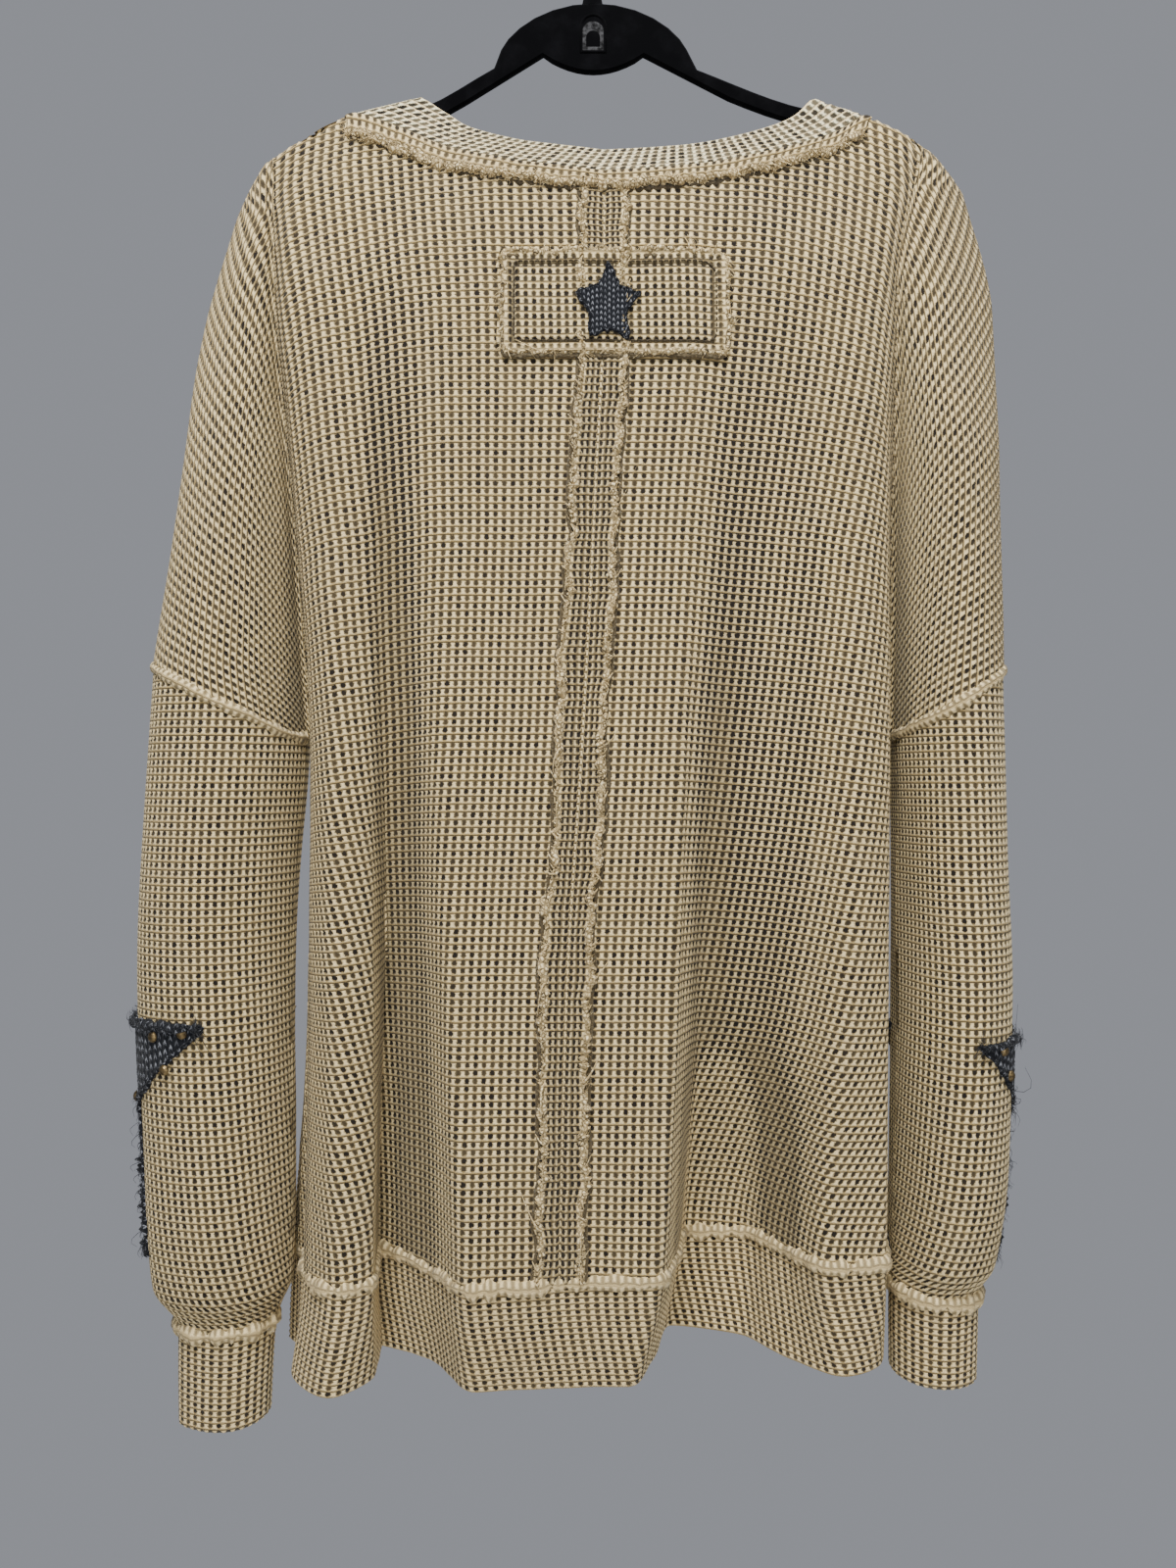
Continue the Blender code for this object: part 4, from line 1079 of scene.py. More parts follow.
@dataclass(frozen=True)
class LoopFinish(Finish):
    """Raw edge of the knit: pale knobbly yarn loops with painted shade in the gaps between them."""

    name: str = "yarn_loops"
    yarn: Colour = (1.0, 0.86, 0.52)
    # shade, gap: painted shading at each loop's border and painted shade between the loops
    shade: Colour = (0.62, 0.46, 0.22)
    gap: Colour = (0.035, 0.026, 0.015)
    scale: float = 400.0

    def paint(self, n: Nodes) -> None:
        """Feed the shader.

        Round cells about 2.5 mm wide are the loops: paler in the middle, and dark
        near their borders, as painted light and shade on each knob, more so where the
        tone is low; below zero it is all dark, for the strips of painted shadow beside
        the edges and for the dark stitches.
        """
        tone = n.tone()
        border = n.new("TexVoronoi", "Distance", set_feature="DISTANCE_TO_EDGE",
                       Vector=n.place, Scale=self.scale)
        fuzz, clump = n.noise(2400.0, 2.0, 0.6), n.noise(240.0, 2.0, 0.6)
        rough = border + (fuzz - 0.5) * 0.25
        wide = n.span(clump, 0.4, 0.65, 0.4, 1.0) * n.span(tone, 0.6, 1.2, 1.0, 0.15)
        dark = (n.span(rough, 0.04, 0.2, 1.0, 0.0) * wide).max(tone * -1.0)
        body = n.mix(n.span(rough, 0.12, 0.4), self.shade, self.yarn)
        n.feed(Base_Color=n.mix(dark, body, self.gap), Roughness=0.95,
               Specular_IOR_Level=0.15, Sheen_Weight=0.15)
        n.bump(border.min(0.35) + fuzz * 0.2, 1.0, 0.0014)


@dataclass(frozen=True)
class RibFinish(Finish):
    """Charcoal rib knit with pale flecks along its ribs."""

    name: str = "charcoal_rib"
    dark: Colour = (0.007, 0.008, 0.011)
    fleck: Colour = (0.30, 0.31, 0.34)

    def paint(self, n: Nodes) -> None:
        """Feed the shader.

        The knit's first coordinate counts ribs and the second stitches: a pale fleck
        lies on each stitch, aslant on both sides of the rib's middle, and noise
        leaves some of them out.
        """
        knit, tone = n.knit(), n.tone()
        rib, stitch = (n.new("SeparateXYZ", axis, i0=knit) for axis in (0, 1))
        half = abs(n.math("FRACT", rib) - 0.5)
        fuzz, patch = n.noise(1500.0, 3.0, 0.7), n.noise(260.0, 3.0, 0.6)
        own = n.new("TexWhiteNoise", "Value", set_noise_dimensions="1D", W=n.math("FLOOR", rib))
        slant = stitch + own + half * 1.6
        wave = n.math("SINE", slant * (2 * math.pi)) + (fuzz - 0.5) * 2.2
        top = n.span(wave, 0.1, 0.9) * n.span(half, 0.16, 0.32, 1.0, 0.0)
        share = (top * n.span(patch, 0.36, 0.6, 0.25, 1.0)).max(
            n.span(fuzz + tone, 0.66, 0.9, 0.0, 0.5))
        n.feed(Base_Color=n.mix(share, self.dark, self.fleck), Roughness=0.95,
               Specular_IOR_Level=0.12, Sheen_Weight=0.08)
        n.bump(half * -1.6 + share * 0.5 + fuzz * 0.8, 0.8, 0.0008)


@dataclass(frozen=True)
class MetalFinish(Finish):
    """Worn metal: a base colour, darker in the hollows of a fine noise."""

    colour: Colour
    worn: Colour
    roughness: float

    def paint(self, n: Nodes) -> None:
        """Feed the shader with a colour and a roughness that follow one noise."""
        patina = n.noise(320.0, 4.0, 0.6)
        n.feed(Base_Color=n.mix(n.span(patina, 0.4, 0.7), self.colour, self.worn), Metallic=1.0,
               Roughness=n.span(patina, 0.3, 0.7, self.roughness, self.roughness + 0.25))
        n.bump(patina, 0.25, 0.0002)


@dataclass(frozen=True)
class FlockFinish(Finish):
    """Short black flock over a moulded body."""

    name: str = "flock"
    colour: Colour = (0.0016, 0.0016, 0.002)
    streak: Colour = (0.005, 0.005, 0.006)

    def paint(self, n: Nodes) -> None:
        """Feed the shader: near black, with a soft sheen and a fine pile."""
        streaks = n.span(n.noise(70.0), 0.4, 0.8, 0.0, 0.6)
        n.feed(Base_Color=n.mix(streaks, self.colour, self.streak), Roughness=0.98,
               Specular_IOR_Level=0.03, Sheen_Weight=0.02)
        n.bump(n.noise(2400.0, 2.0, 0.7), 0.5, 0.0003)


@dataclass(frozen=True)
class PlainFinish(Finish):
    """A single soft colour for what isn't part of the object."""

    colour: Colour

    def paint(self, n: Nodes) -> None:
        """Feed the shader one colour."""
        n.feed(Base_Color=self.colour, Roughness=0.9)


# near-black colour of the shade painted into the knit's recesses
PAINTED_PIT_SHADE = (0.012, 0.009, 0.007)
BODY_KNIT = WaffleFinish("waffle_body", (1.0, 0.80, 0.425), (0.37, 0.262, 0.108), PAINTED_PIT_SHADE)
BAND_KNIT = WaffleFinish("waffle_band", (0.97, 0.765, 0.40), (0.34, 0.24, 0.10), PAINTED_PIT_SHADE,
                         pit_size=0.54)
NECK_KNIT = WaffleFinish("waffle_neck", (1.0, 0.93, 0.62), (0.86, 0.68, 0.38),
                         (0.014, 0.011, 0.008), pit_size=0.66, row_shadow_depth=0.45)
WIRE = MetalFinish("plated_wire", (0.10, 0.10, 0.105), (0.05, 0.05, 0.05), 0.3)
BRASS = MetalFinish("brass", (0.25, 0.18, 0.085), (0.07, 0.05, 0.025), 0.35)
TAB = MetalFinish("dull_tab", (0.05, 0.05, 0.052), (0.02, 0.02, 0.02), 0.7)


# ------------------------------------------------------------------ cloth pieces
def declare(item: bpy.types.Object, nodes: Sequence[str]) -> None:
    """Attach a piece to the root, hide the CAD nodes it replaces and log its faces.

    Args:
        item: The piece.
        nodes: The CAD nodes it replaces.
    """
    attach(item, "root")
    if nodes:
        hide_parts(*nodes)
    LOG.info("%s: %d faces", item.name, len(item.data.polygons))


@dataclass
class BodyPiece:
    """A back half or the front, with its dropped shoulders, as one woven wall."""

    name: str
    halves: Sequence[Half]
    flat: Tuple[float, float]
    area: float
    weave: Weave = field(default_factory=Weave)
    sink: float = 32.0
    widths: Tuple[Tuple[float, ...], Tuple[float, ...]] = (
        (160.0, 250.0, 400.0, 520.0, 915.0), (6.2, 5.75, 5.15, 5.0, 5.0))
    slopes: Tuple[float, float] = (1.3, 0.4)
    fan: Tuple[float, float] = (-200.0, -500.0)

    def field_sheet(self, half: Half) -> Grid:
        """Dense field of a half, with half the groove above the underarm and the side below."""
        levels = dense_levels(LEVELS["hem"])
        places = np.linspace(0.0, half.place[-1], 240)
        main = half.points(places, levels)
        shares = np.linspace(0.0, 0.5, 7)[1:]
        upper = half.groove(shares, levels)
        lower = half.side_wall(shares * 2, levels)
        beside = np.where((levels > LEVELS["underarm"])[:, None, None], upper, lower)
        return with_normals(np.concatenate([main, beside], axis=1), half.outward)

    def flap_sheet(self, half: Half) -> Grid:
        """Dense dropped shoulder of a half, from the outer edge in to the groove."""
        levels = dense_levels(LEVELS["underarm"])
        outer = half.flap(np.linspace(math.pi, 0.0, 100), levels)
        turn = half.groove(np.linspace(1.0, 0.45, 8)[1:], levels)
        return with_normals(np.concatenate([outer, turn], axis=1), half.outward)

    def cuts(self, half: Half) -> List[Cut]:
        """The field and the shoulder of a half, laid out in cells."""
        sheet = self.field_sheet(half)
        place = np.linspace(0.0, 1.0, sheet.shape[1])
        droop = self.sink * np.clip((place - 0.2) / 0.8, 0.0, 1.0) ** 2
        found, rows = lay_rows(sheet, self.weave, droop)
        width = np.interp(rows * self.weave.down / 2, *self.widths)
        main = lay_columns(found, rows, width)
        shoulder = fan_cells(self.flap_sheet(half), self.weave, self.slopes, self.fan)
        return [main, shoulder]

    def build(self, finish: bpy.types.Material) -> None:
        """Make the piece of the given material, with shade painted into its folds."""
        maker = MeshMaker()
        for half in self.halves:
            for cut in self.cuts(half):
                # painted shade: a tone of -0.5 times how deep the point lies in a fold
                maker.add_wall(cut, self.weave, -0.5 * hollow(cut.points))
        item = maker.make(self.name + "_knit", finish)
        declare(item, [self.name])


def hollow(points: Grid, window: int = 15, depth: float = 5.0) -> Grid:
    """How deep each point of a (rows, columns, 3) grid lies in a fold, from 0 to 1.
    The body pieces paint shade into their folds by it.

    The depth is how far a point lies in from the mean of its row's points up to the
    window on both sides, divided by the full depth.
    """
    out = np.abs(np.pad(points[..., 1], ((0, 0), (window, window)), mode="edge"))
    total = np.cumsum(np.pad(out, ((0, 0), (1, 0))), axis=1)
    mean = (total[:, 2 * window + 1:] - total[:, :-2 * window - 1]) / (2 * window + 1)
    return np.clip((mean - np.abs(points[..., 1])) / depth, 0.0, 1.0)


@dataclass
class SleevePiece:
    """A sleeve tube from the armhole seam to the cuff seam."""

    side: str
    arm: Arm
    flat: Tuple[float, float] = (0.27, 0.39)
    weave: Weave = field(default_factory=lambda: Weave(across=4.6, down=4.7, seed=11))
    seam: Roll = Roll(6.5, 2.4, 0.4, 1.2)

    def halves(self, sheet: Grid) -> List[Grid]:
        """The tube cut at its edges: the back and the front, each from the outer edge."""
        outer, last = 40, sheet.shape[1] - 1
        inner = (outer + 32 + last) // 2 + 4
        back = np.concatenate([sheet[:, outer::-1], sheet[:, last - 1:inner - 1:-1]], axis=1)
        return [back, sheet[:, outer:inner + 1]]

    def build(self, finish: bpy.types.Material, loose: MeshMaker) -> None:
        """Make the sleeve: woven outside, plain inside.

        Args:
            finish: The knit's material.
            loose: Mesh that takes the seam's roll.
        """
        maker = MeshMaker()
        for sheet in self.halves(self.arm.tube(self.arm.start, self.arm.seam)):
            maker.add_wall(lay_columns(*lay_rows(sheet, self.weave), self.weave.across),
                           self.weave)
        seam = self.arm.tube(self.arm.start + 0.5, self.arm.start + 12.5)[0, :-1]
        self.seam.add(loose, seam[:, :3] + seam[:, 3:] * CLOTH / 2, seam[:, 3:], closed=True)
        item = maker.make(f"sleeve_{self.side}_knit", finish)
        declare(item, ["sleeve_" + self.side])


@dataclass
class Band:
    """A knitted band as a closed tube of cloth: its outside, its free edge and its inside."""

    name: str
    flat: Tuple[float, float]
    weave: Weave
    rests_on: Sequence[str]
    roll: Optional[Roll] = None

    def build(self, rows: Grid, finish: bpy.types.Material,
              loose: Optional[MeshMaker] = None) -> None:
        """Make the band from closed rows of points and normals.

        The profile goes down the outside, turns round the free edge, comes back up
        the inside and closes at the seam.

        Args:
            rows: (rows, places, 6), from the seam to the free edge, half a cell
                apart; the last place is the first again.
            finish: The knit's material.
            loose: Mesh that takes the seam's roll.
        """
        along = arc_length(rows[..., :3])
        count = 2 * round(along[:, -1].max() / self.weave.across)
        share = np.linspace(0.0, 1.0, count + 1)[:-1]
        read = resample(along, rows, share[None, :] * along[:, -1:])
        points, normals = read[..., :3], unit(read[..., 3:6])
        cells = pairs(np.arange(count)[None, :] / 2.0, np.arange(len(rows))[:, None] / 2.0)
        slack = self.weave.slack(points)
        outer = points + normals * (CLOTH / 2 + self.weave.height(cells) + slack)[..., None]
        inner = points + normals * (slack - CLOTH / 2)[..., None]
        way = unit(points[-1] - points[-2])
        edge = (outer[-1] + inner[-1]) / 2 + way * CLOTH * 0.55
        loop = np.concatenate([outer, edge[None], inner[::-1]])
        tall = np.concatenate([cells, cells[-1:], cells[::-1]])
        facing = np.concatenate([normals, way[None], -normals[::-1]])
        maker = MeshMaker()
        maker.add_grid(loop, tall, outward=facing, closed=True, looped=True)
        if self.roll:
            seam = points[0] + normals[0] * (slack[0] + CLOTH / 2)[:, None]
            self.roll.add(loose, seam, normals[0], closed=True)
        item = maker.make(self.name + "_knit", finish)
        declare(item, [self.name])


def closed_runs(*runs: Grid) -> Grid:
    """Join (rows, places, 3) runs, each of which starts where the one before ends, to rings."""
    rows = np.concatenate([runs[0]] + [run[:, 1:] for run in runs[1:]], axis=1)
    rows[:, -1] = rows[:, 0]
    return rows


def ring_normals(rows: Grid) -> Grid:
    """Join closed rows round a hollow with their outward normals, (rows, places, 6).

    The sum of the cross products of neighbours gives the way round.
    """
    rows = with_normals(rows, np.zeros(3), closed=True)
    ring = rows[len(rows) // 2]
    area = (ring[:-1, 0] * ring[1:, 1] - ring[1:, 0] * ring[:-1, 1]).sum()
    step = (ring[1] - ring[0])[:2] * (1.0 if area > 0 else -1.0)
    if ring[0, 3] * step[1] - ring[0, 4] * step[0] < 0:
        rows[..., 3:] *= -1
    return rows


def body_rows(halves: Sequence[Half], levels: Grid) -> Grid:
    """Closed rows round the body below the underarm, (levels, places, 6).

    They start at the left side of the back and go by the right side and the front.
    """
    runs = []
    for half in halves:
        places = np.linspace(0.0, half.place[-1], 160)
        main = half.points(places, np.append(LEVELS["top"], levels))[1:]
        runs.append((main, half.side_wall(np.linspace(0.0, 1.0, 5), levels)))
    left, right, fore_left, fore_right = runs
    return ring_normals(closed_runs(
        left[0][:, ::-1], *right, *(run[:, ::-1] for run in fore_right[::-1]), *fore_left,
        left[1][:, ::-1]))


def neck_rows(halves: Sequence[Half], shares: Grid) -> Grid:
    """Closed rows of the neckband, (shares, places, 6), from the seam at 0 to the edge at 1.

    A row is the neck seam moved by share * (inward, lean, rise), which change with
    the distance from the centre over NECK_SPAN, to the power 2.2.
    """
    level = np.array([LEVELS["top"]])
    left, right, fore_left, fore_right = (
        half.points(np.linspace(0.0, half.neck, 90), level) for half in halves)
    seam = closed_runs(left[:, ::-1], right, fore_right[:, ::-1], fore_left)[0]
    centre = left[0, 0, 0]
    reach = np.clip(np.abs(seam[:, 0] - centre) / NECK_SPAN, 0, 1) ** 2.2
    front = seam[:, 1] > 0
    lean = np.where(front, -NECK_LEAN["front"], NECK_LEAN["back"]) * (1 - reach)
    rise = np.where(front, NECK_RISE["front"], NECK_RISE["back"]) * (1 - reach)
    rise = rise + NECK_RISE["shoulder"] * reach
    right_side = seam[:, 0] > centre
    inward = np.where(right_side, -NECK_LEAN["shoulder"][1], NECK_LEAN["shoulder"][0]) * reach
    offset = np.stack([inward, lean, rise], axis=-1)
    return ring_normals(seam[None] + offset[None] * shares[:, None, None])


# ------------------------------------------------------------------ sewn-on pieces
def joined(left: Half, right: Half, places: Grid, levels: Grid) -> Grid:
    """Points and normals of both halves side by side, (levels, 2 n - 1, 6)."""
    sheet = np.concatenate([left.points(places, levels)[:, ::-1],
                            right.points(places, levels)[:, 1:]], axis=1)
    return with_normals(sheet, left.outward)


def nearest(sheet: Grid, x: Grid, z: Grid) -> Grid:
    """Points of a sheet as seen along Y, (..., 6), at places x and z."""
    flat = sheet.reshape(-1, 6)
    want = np.stack([x, z], axis=-1).reshape(-1, 2)
    gap = ((flat[None, :, [0, 2]] - want[:, None]) ** 2).sum(axis=-1)
    found = flat[gap.argmin(axis=1)].copy()
    found[:, [0, 2]] = want
    return found.reshape(*x.shape, 6)


@dataclass
class NeckEdge:
    """The raw seam allowance outside along the neck seam: a creamy, frayed roll.

    outer and inner are the heights of its two sides off the cloth; each fray goes
    with its height off the rolled edge and its way, down (1) or up (-1).
    """

    name: str
    left: Half
    right: Half
    area: float
    flat: Tuple[float, float] = (0.41, 0.011)
    weave: Weave = field(default_factory=Weave)
    deep: float = 11.0
    outer: float = 3.3
    inner: float = 1.8
    edge: Roll = Roll(4.6, 2.1, 0.5, 2.0, 31)
    # a thin dark roll painted as the shadow just below the rolled edge
    shade: Roll = Roll(3.4, 0.9, -0.95, 0.6)
    frays: Tuple[Tuple[Fray, float, int], ...] = (
        (Fray(2.4, 3.0, 1.6, 1.4, 0.6, 1.2, 10), 0.9, 1),
        (Fray(2.8, 0.9, 0.6, 1.3, 0.5, 0.8, 3), 0.6, 1),
        (Fray(2.2, 1.3, 0.55, 1.5, 0.8, 0.9, 4), 1.6, -1),
        (Fray(15.0, 34.0, 0.38, 0.5, 0.12, 1.3, 8), 1.0, 1))
    tuft: Fray = Fray(5.5, 0.55, 0.5, 0.7, 0.3, 1.4, 9)

    def build(self, finish: bpy.types.Material, loose: MeshMaker) -> None:
        """Make the allowance with its roll, frays and the tufts past the shoulder line,
        and with a dark roll painted as the shadow under its edge.

        Args:
            finish: The knit's material.
            loose: Mesh that takes the rolled edges and yarn ends.
        """
        places = np.linspace(0.0, self.left.neck, 170)
        levels = np.linspace(LEVELS["top"], LEVELS["top"] - self.deep, 15)
        sheet = joined(self.left, self.right, places, levels)
        points, normals = sheet[..., :3], sheet[..., 3:]
        share = np.linspace(0, 1, 15)[:, None]
        uneven = noise(points, 7.0, 21) * 0.35 + noise(points, 24.0, 22) * 0.3
        slack = self.weave.slack(points)
        outer = points + normals * (self.outer + slack + share * (0.5 + uneven))[..., None]
        inner = points + normals * (self.inner + slack)[..., None]
        ragged = (noise(points[-1], 6.0, 23) + noise(points[-1], 15.0, 24)) * 0.8
        for side in (outer, inner):
            side[:, :, 2] -= share ** 2 * ragged
        maker = MeshMaker()
        maker.add_slab(outer, inner, pairs(arc_length(points)[:1] / 5.2,
                                           share * self.deep / 4.6 + 0.4), 0.25 * share)
        up = normals[-1]
        rim = outer[-1] - up * 1.1
        self.edge.add(loose, rim, up)
        down = np.broadcast_to(DOWN, up.shape)
        # painted shadow: a dark roll lying on the cloth just below the rolled edge
        under = points[-1] + up * (1.5 + slack[-1])[:, None] + down * 2.9
        self.shade.add(loose, under[::2], up[::2])
        for fray, lift, way in self.frays:
            fray.add(loose, rim + up * lift, down * way, up)
        for end, sign in ((slice(0, 9), -1.0), (slice(-9, None), 1.0)):
            way = np.broadcast_to(np.array([sign * 0.6, 0.0, 1.0]), up[end].shape)
            self.tuft.add(loose, rim[end], way, up[end])
        item = maker.make(self.name + "_knit", finish)
        declare(item, [self.name])


@dataclass
class SeamStrip:
    """One raw edge of the centre back seam, pressed open, with a curled, frayed outer edge.

    lines are the places (as shares of the width) and depths of its dark lines,
    shade painted at the seam and in the strip's folds; each fray goes with its
    height off the rolled edge and its way, out (1) or in (-1).
    """

    name: str
    half: Half
    flat: Tuple[float, float] = (0.013, 0.67)
    weave: Weave = field(default_factory=Weave)
    width: float = 12.5
    top: float = -181.0
    step: float = 1.1625
    outer: float = 2.9
    inner: float = 1.2
    lines: Tuple[Tuple[float, float], ...] = ((0.0, 0.95), (0.36, 0.8), (0.62, 0.6))
    # a thin dark roll painted as the curled edge's shadow, laid on both sides of it at the two
    # distances below
    shade: Roll = Roll(2.2, 0.9, -0.9, 0.8)
    painted_shadow_at: Tuple[float, float] = (2.9, -2.7)
    frays: Tuple[Tuple[Fray, float, int], ...] = (
        (Fray(2.4, 1.3, 0.62, 1.4, 0.6, 0.8, 14), 0.7, 1),
        (Fray(2.6, 2.6, 1.7, 1.5, 0.7, 1.2, 16), 0.9, 1),
        (Fray(2.2, 2.4, 0.6, 1.5, 0.9, 0.8, 15), 1.0, -1))

    def build(self, finish: bpy.types.Material, loose: MeshMaker) -> None:
        """Make the strip, its curled edge and its frays.

        Args:
            finish: The knit's material.
            loose: Mesh that takes the rolled edges and yarn ends.
        """
        side = self.half.side.value
        levels = np.arange(self.top, LEVELS["hem"] + 0.3, -self.step)
        cloth = with_normals(self.half.points(np.linspace(0.3, 17.0, 30), levels),
                             self.half.outward)
        seam = cloth[:, 0, :3]
        seed = 12 + 5 * side
        wide = (self.width + 1.1 * noise(seam, 46.0, seed) + 0.9 * noise(seam, 15.0, seed + 1)
                + 0.3 * noise(seam, 5.0, seed + 2))
        share = np.linspace(0, 1, 13)
        sheet = resample(arc_length(cloth[..., :3]), cloth, wide[:, None] * share[None])
        points, normals = sheet[..., :3], unit(sheet[..., 3:])
        cells = pairs(share[None] * self.width / 3.6, -levels[:, None] / self.weave.down)
        slack = self.weave.slack(points)
        dip = 1.6 * np.exp(-(share / 0.12) ** 2)
        curl = 1.1 * np.clip((share - 0.7) / 0.3, 0, 1) ** 2
        relief = self.weave.height(cells) * 0.55
        outer = points + normals * (self.outer + slack + relief - dip + curl)[..., None]
        inner = points + normals * (self.inner + slack - dip * 0.3 + curl * 0.5)[..., None]
        # painted shade: dark lines at the seam and in the strip's folds, given as a tone below 0
        dark = sum(deep * np.exp(-((share - at) / 0.08) ** 2) for at, deep in self.lines)
        maker = MeshMaker()
        maker.add_slab(outer, inner, cells,
                       (0.5 * np.clip((share - 0.72) / 0.28, 0, 1) - dark)[None])
        up = normals[:, -1]
        rim = points[:, -1] + up * (self.outer + slack[:, -1])[:, None]
        Roll(3.8, 2.2, 0.5, 2.3, 51 + side).add(loose, rim, up)
        out = np.broadcast_to(np.array([float(side), 0.0, -0.25]), up.shape)
        # painted shadow beside the curled edge, on both sides
        for beside in self.painted_shadow_at:
            self.shade.add(loose, (rim + out * beside - up * 1.1)[::4], up[::4])
        for fray, lift, way in self.frays:
            fray.add(loose, rim + up * lift, out * way, up)
        item = maker.make(self.name + "_knit", finish)
        declare(item, [self.name])


@dataclass
class BackPatch:
    """The frayed rectangle across the seam, sewn on with a line of stitches, and its star.

    edges are its left, right, top and bottom; inset is how far the stitches lie in
    from each of them.
    """

    left: Half
    right: Half
    weave: Weave = field(default_factory=lambda: Weave(across=4.9, down=4.6, seed=3))
    edges: Tuple[float, float, float, float] = (-49.8, 85.2, -233.0, -294.0)
    inset: Tuple[float, float, float, float] = (5.5, 8.0, 7.5, 5.5)
    round: float = 9.0
    centre: Tuple[float, float] = (20.0, -260.0)
    outer: float = 3.6
    inner: float = 2.2
    edge: Roll = Roll(3.4, 2.9, 0.5, 2.2, 65)
    # a thin dark roll painted as the shadow below the rolled edge
    shade: Roll = Roll(2.6, 0.9, -0.9, 0.8)
    frays: Tuple[Fray, ...] = (Fray(2.4, 3.2, 1.6, 1.4, 0.6, 1.2, 68),
                               Fray(2.6, 0.9, 0.6, 1.3, 0.5, 0.8, 66),
                               Fray(11.0, 26.0, 0.36, 0.6, 0.2, 1.3, 67))
    stitch: float = 3.4
    star_at: Tuple[float, float] = (13.6, -266.8)
    star_size: Tuple[float, float] = (0.82 * 24.2, 24.2)
    star_rib: float = 2.6

    def sheet(self) -> Grid:
        """Dense points and normals of the back round the patch."""
        return joined(self.left, self.right, np.arange(0.0, 95.0, 1.225),
                      np.arange(-215.0, -305.0, -1.15))

    def bulge(self, x: Grid) -> Grid:
        """How far the seam below lifts the patch: 1.2 * exp(-((x - 1) / 16)^4)."""
        return 1.2 * np.exp(-((x - 1.0) / 16.0) ** 4)

    def frame(self, grow: float, count: int = 400) -> Grid:
        """A closed line (count, 2) a distance outside the patch's rectangle, corners rounded.

        A corner is a quarter circle; the straight sides lie between them.
        """
        left, right, top, bottom = self.edges
        low = np.array([left, bottom]) - grow
        high = np.array([right, top]) + grow
        corners = ((high[0], high[1], 0.0, self.round), (low[0], high[1], 90.0, 2.5),
                   (low[0], low[1], 180.0, 2.5), (high[0], low[1], 270.0, self.round * 0.7))
        line = []
        for x, z, start, radius in corners:
            turn = np.radians(start + np.linspace(0, 90, 12))
            middle = np.array([x, z]) - radius * np.sign(np.array([x, z]) - self.centre)
            line.append(middle + radius * np.stack([np.cos(turn), np.sin(turn)], axis=-1))
        line = np.concatenate(line + [line[0][:1]])
        along = arc_length(line[None])
        return resample(along, line[None], np.linspace(0, along[0, -1], count)[None])[0]

    def build(self, finish: bpy.types.Material, loose: MeshMaker) -> None:
        """Make the patch, with shade painted into its stitched groove.

        Args:
            finish: The knit's material.
            loose: Mesh that takes the rolled edges, yarn ends and stitches.
        """
        sheet = self.sheet()
        points, normals = sheet[..., :3], sheet[..., 3:]
        x, z = points[..., 0], points[..., 2]
        left, right, top, bottom = self.edges
        over = np.stack([left - x, x - right, z - top, bottom - z])
        past = over.max(axis=0)
        ragged = 0.7 * noise(points, 7.0, 61) + 0.5 * noise(points, 21.0, 62)
        corner = np.stack([x - right, np.maximum(z - top, bottom - z)]) + self.round
        corner = np.clip(corner, 0, None)
        outside = (past + ragged > 0) | ((corner ** 2).sum(axis=0) > self.round ** 2)
        inward = -(over + np.array(self.inset)[:, None, None])
        sewn = np.exp(-(inward.min(axis=0) / 1.3) ** 2)
        rim = np.clip(1 + past / 6.0, 0, 1)
        cells = np.stack([x / 4.9 + 0.02 * z / 4.9, z / 4.6], axis=-1)
        slack = self.weave.slack(points)
        high = (self.outer + slack + 0.8 * self.weave.height(cells) * (1 - 0.5 * rim)
                + self.bulge(x))
        high = high - 1.1 * sewn + rim ** 2 * (0.5 + 0.5 * noise(points, 9.0, 63))
        maker = MeshMaker()
        # the tone -0.95 * sewn paints shade into the stitched groove
        maker.add_grid(points + normals * high[..., None], cells, outside,
                       0.5 * rim ** 2 - 0.95 * sewn, outward=normals)
        low = points + normals * (self.inner + slack)[..., None]
        few = np.s_[::3, ::3]
        maker.add_grid(low[few], cells[few], outside[few], outward=-normals[few])
        line = self.frame(0.4)
        found = nearest(sheet, line[:, 0], line[:, 1])
        place, up = found[:, :3], found[:, 3:]
        raised = place + up * (2.1 + self.weave.slack(place))[:, None]
        self.edge.add(loose, raised[:-1], up[:-1], closed=True)
        # painted shadow: a dark roll just below the rolled edge
        self.shade.add(loose, (raised + DOWN * 2.8 + up * 1.2)[:-1:2], up[:-1:2], closed=True)
        out = unit(np.stack([line[:, 0] - 19.0, np.zeros(len(line)),
                             2.0 * (line[:, 1] - self.centre[1])], -1))
        for fray in self.frays:
            fray.add(loose, raised + up, out, up)
        item = maker.make("back_patch_knit", finish)
        declare(item, ["back_patch"])
        self.stitches(sheet, loose)

    def stitches(self, sheet: Grid, loose: MeshMaker) -> None:
        """Add the line of dark stitches a little inside the patch's edge."""
        line = self.frame(-6.2, 1600)
        along = arc_length(line[None])[0]
        count = int(along[-1] / self.stitch)
        start = np.arange(count) * along[-1] / count
        t = np.linspace(0.0, 2.7, 5)
        want = np.stack([np.interp(start[:, None] + t, along, line[:, i]) for i in (0, 1)], -1)
        found = nearest(sheet, want[..., 0], want[..., 1])
        hump = np.array([-0.5, 0.25, 0.4, 0.25, -0.5])
        high = (self.outer + self.weave.slack(found[..., :3]) + self.bulge(want[..., 0])
                + hump)
        lines = found[..., :3] + found[..., 3:] * high[..., None]
        add_threads(loose, lines, found[:, 2, 3:], np.full(lines.shape[:2], 0.55), -0.95, 6)

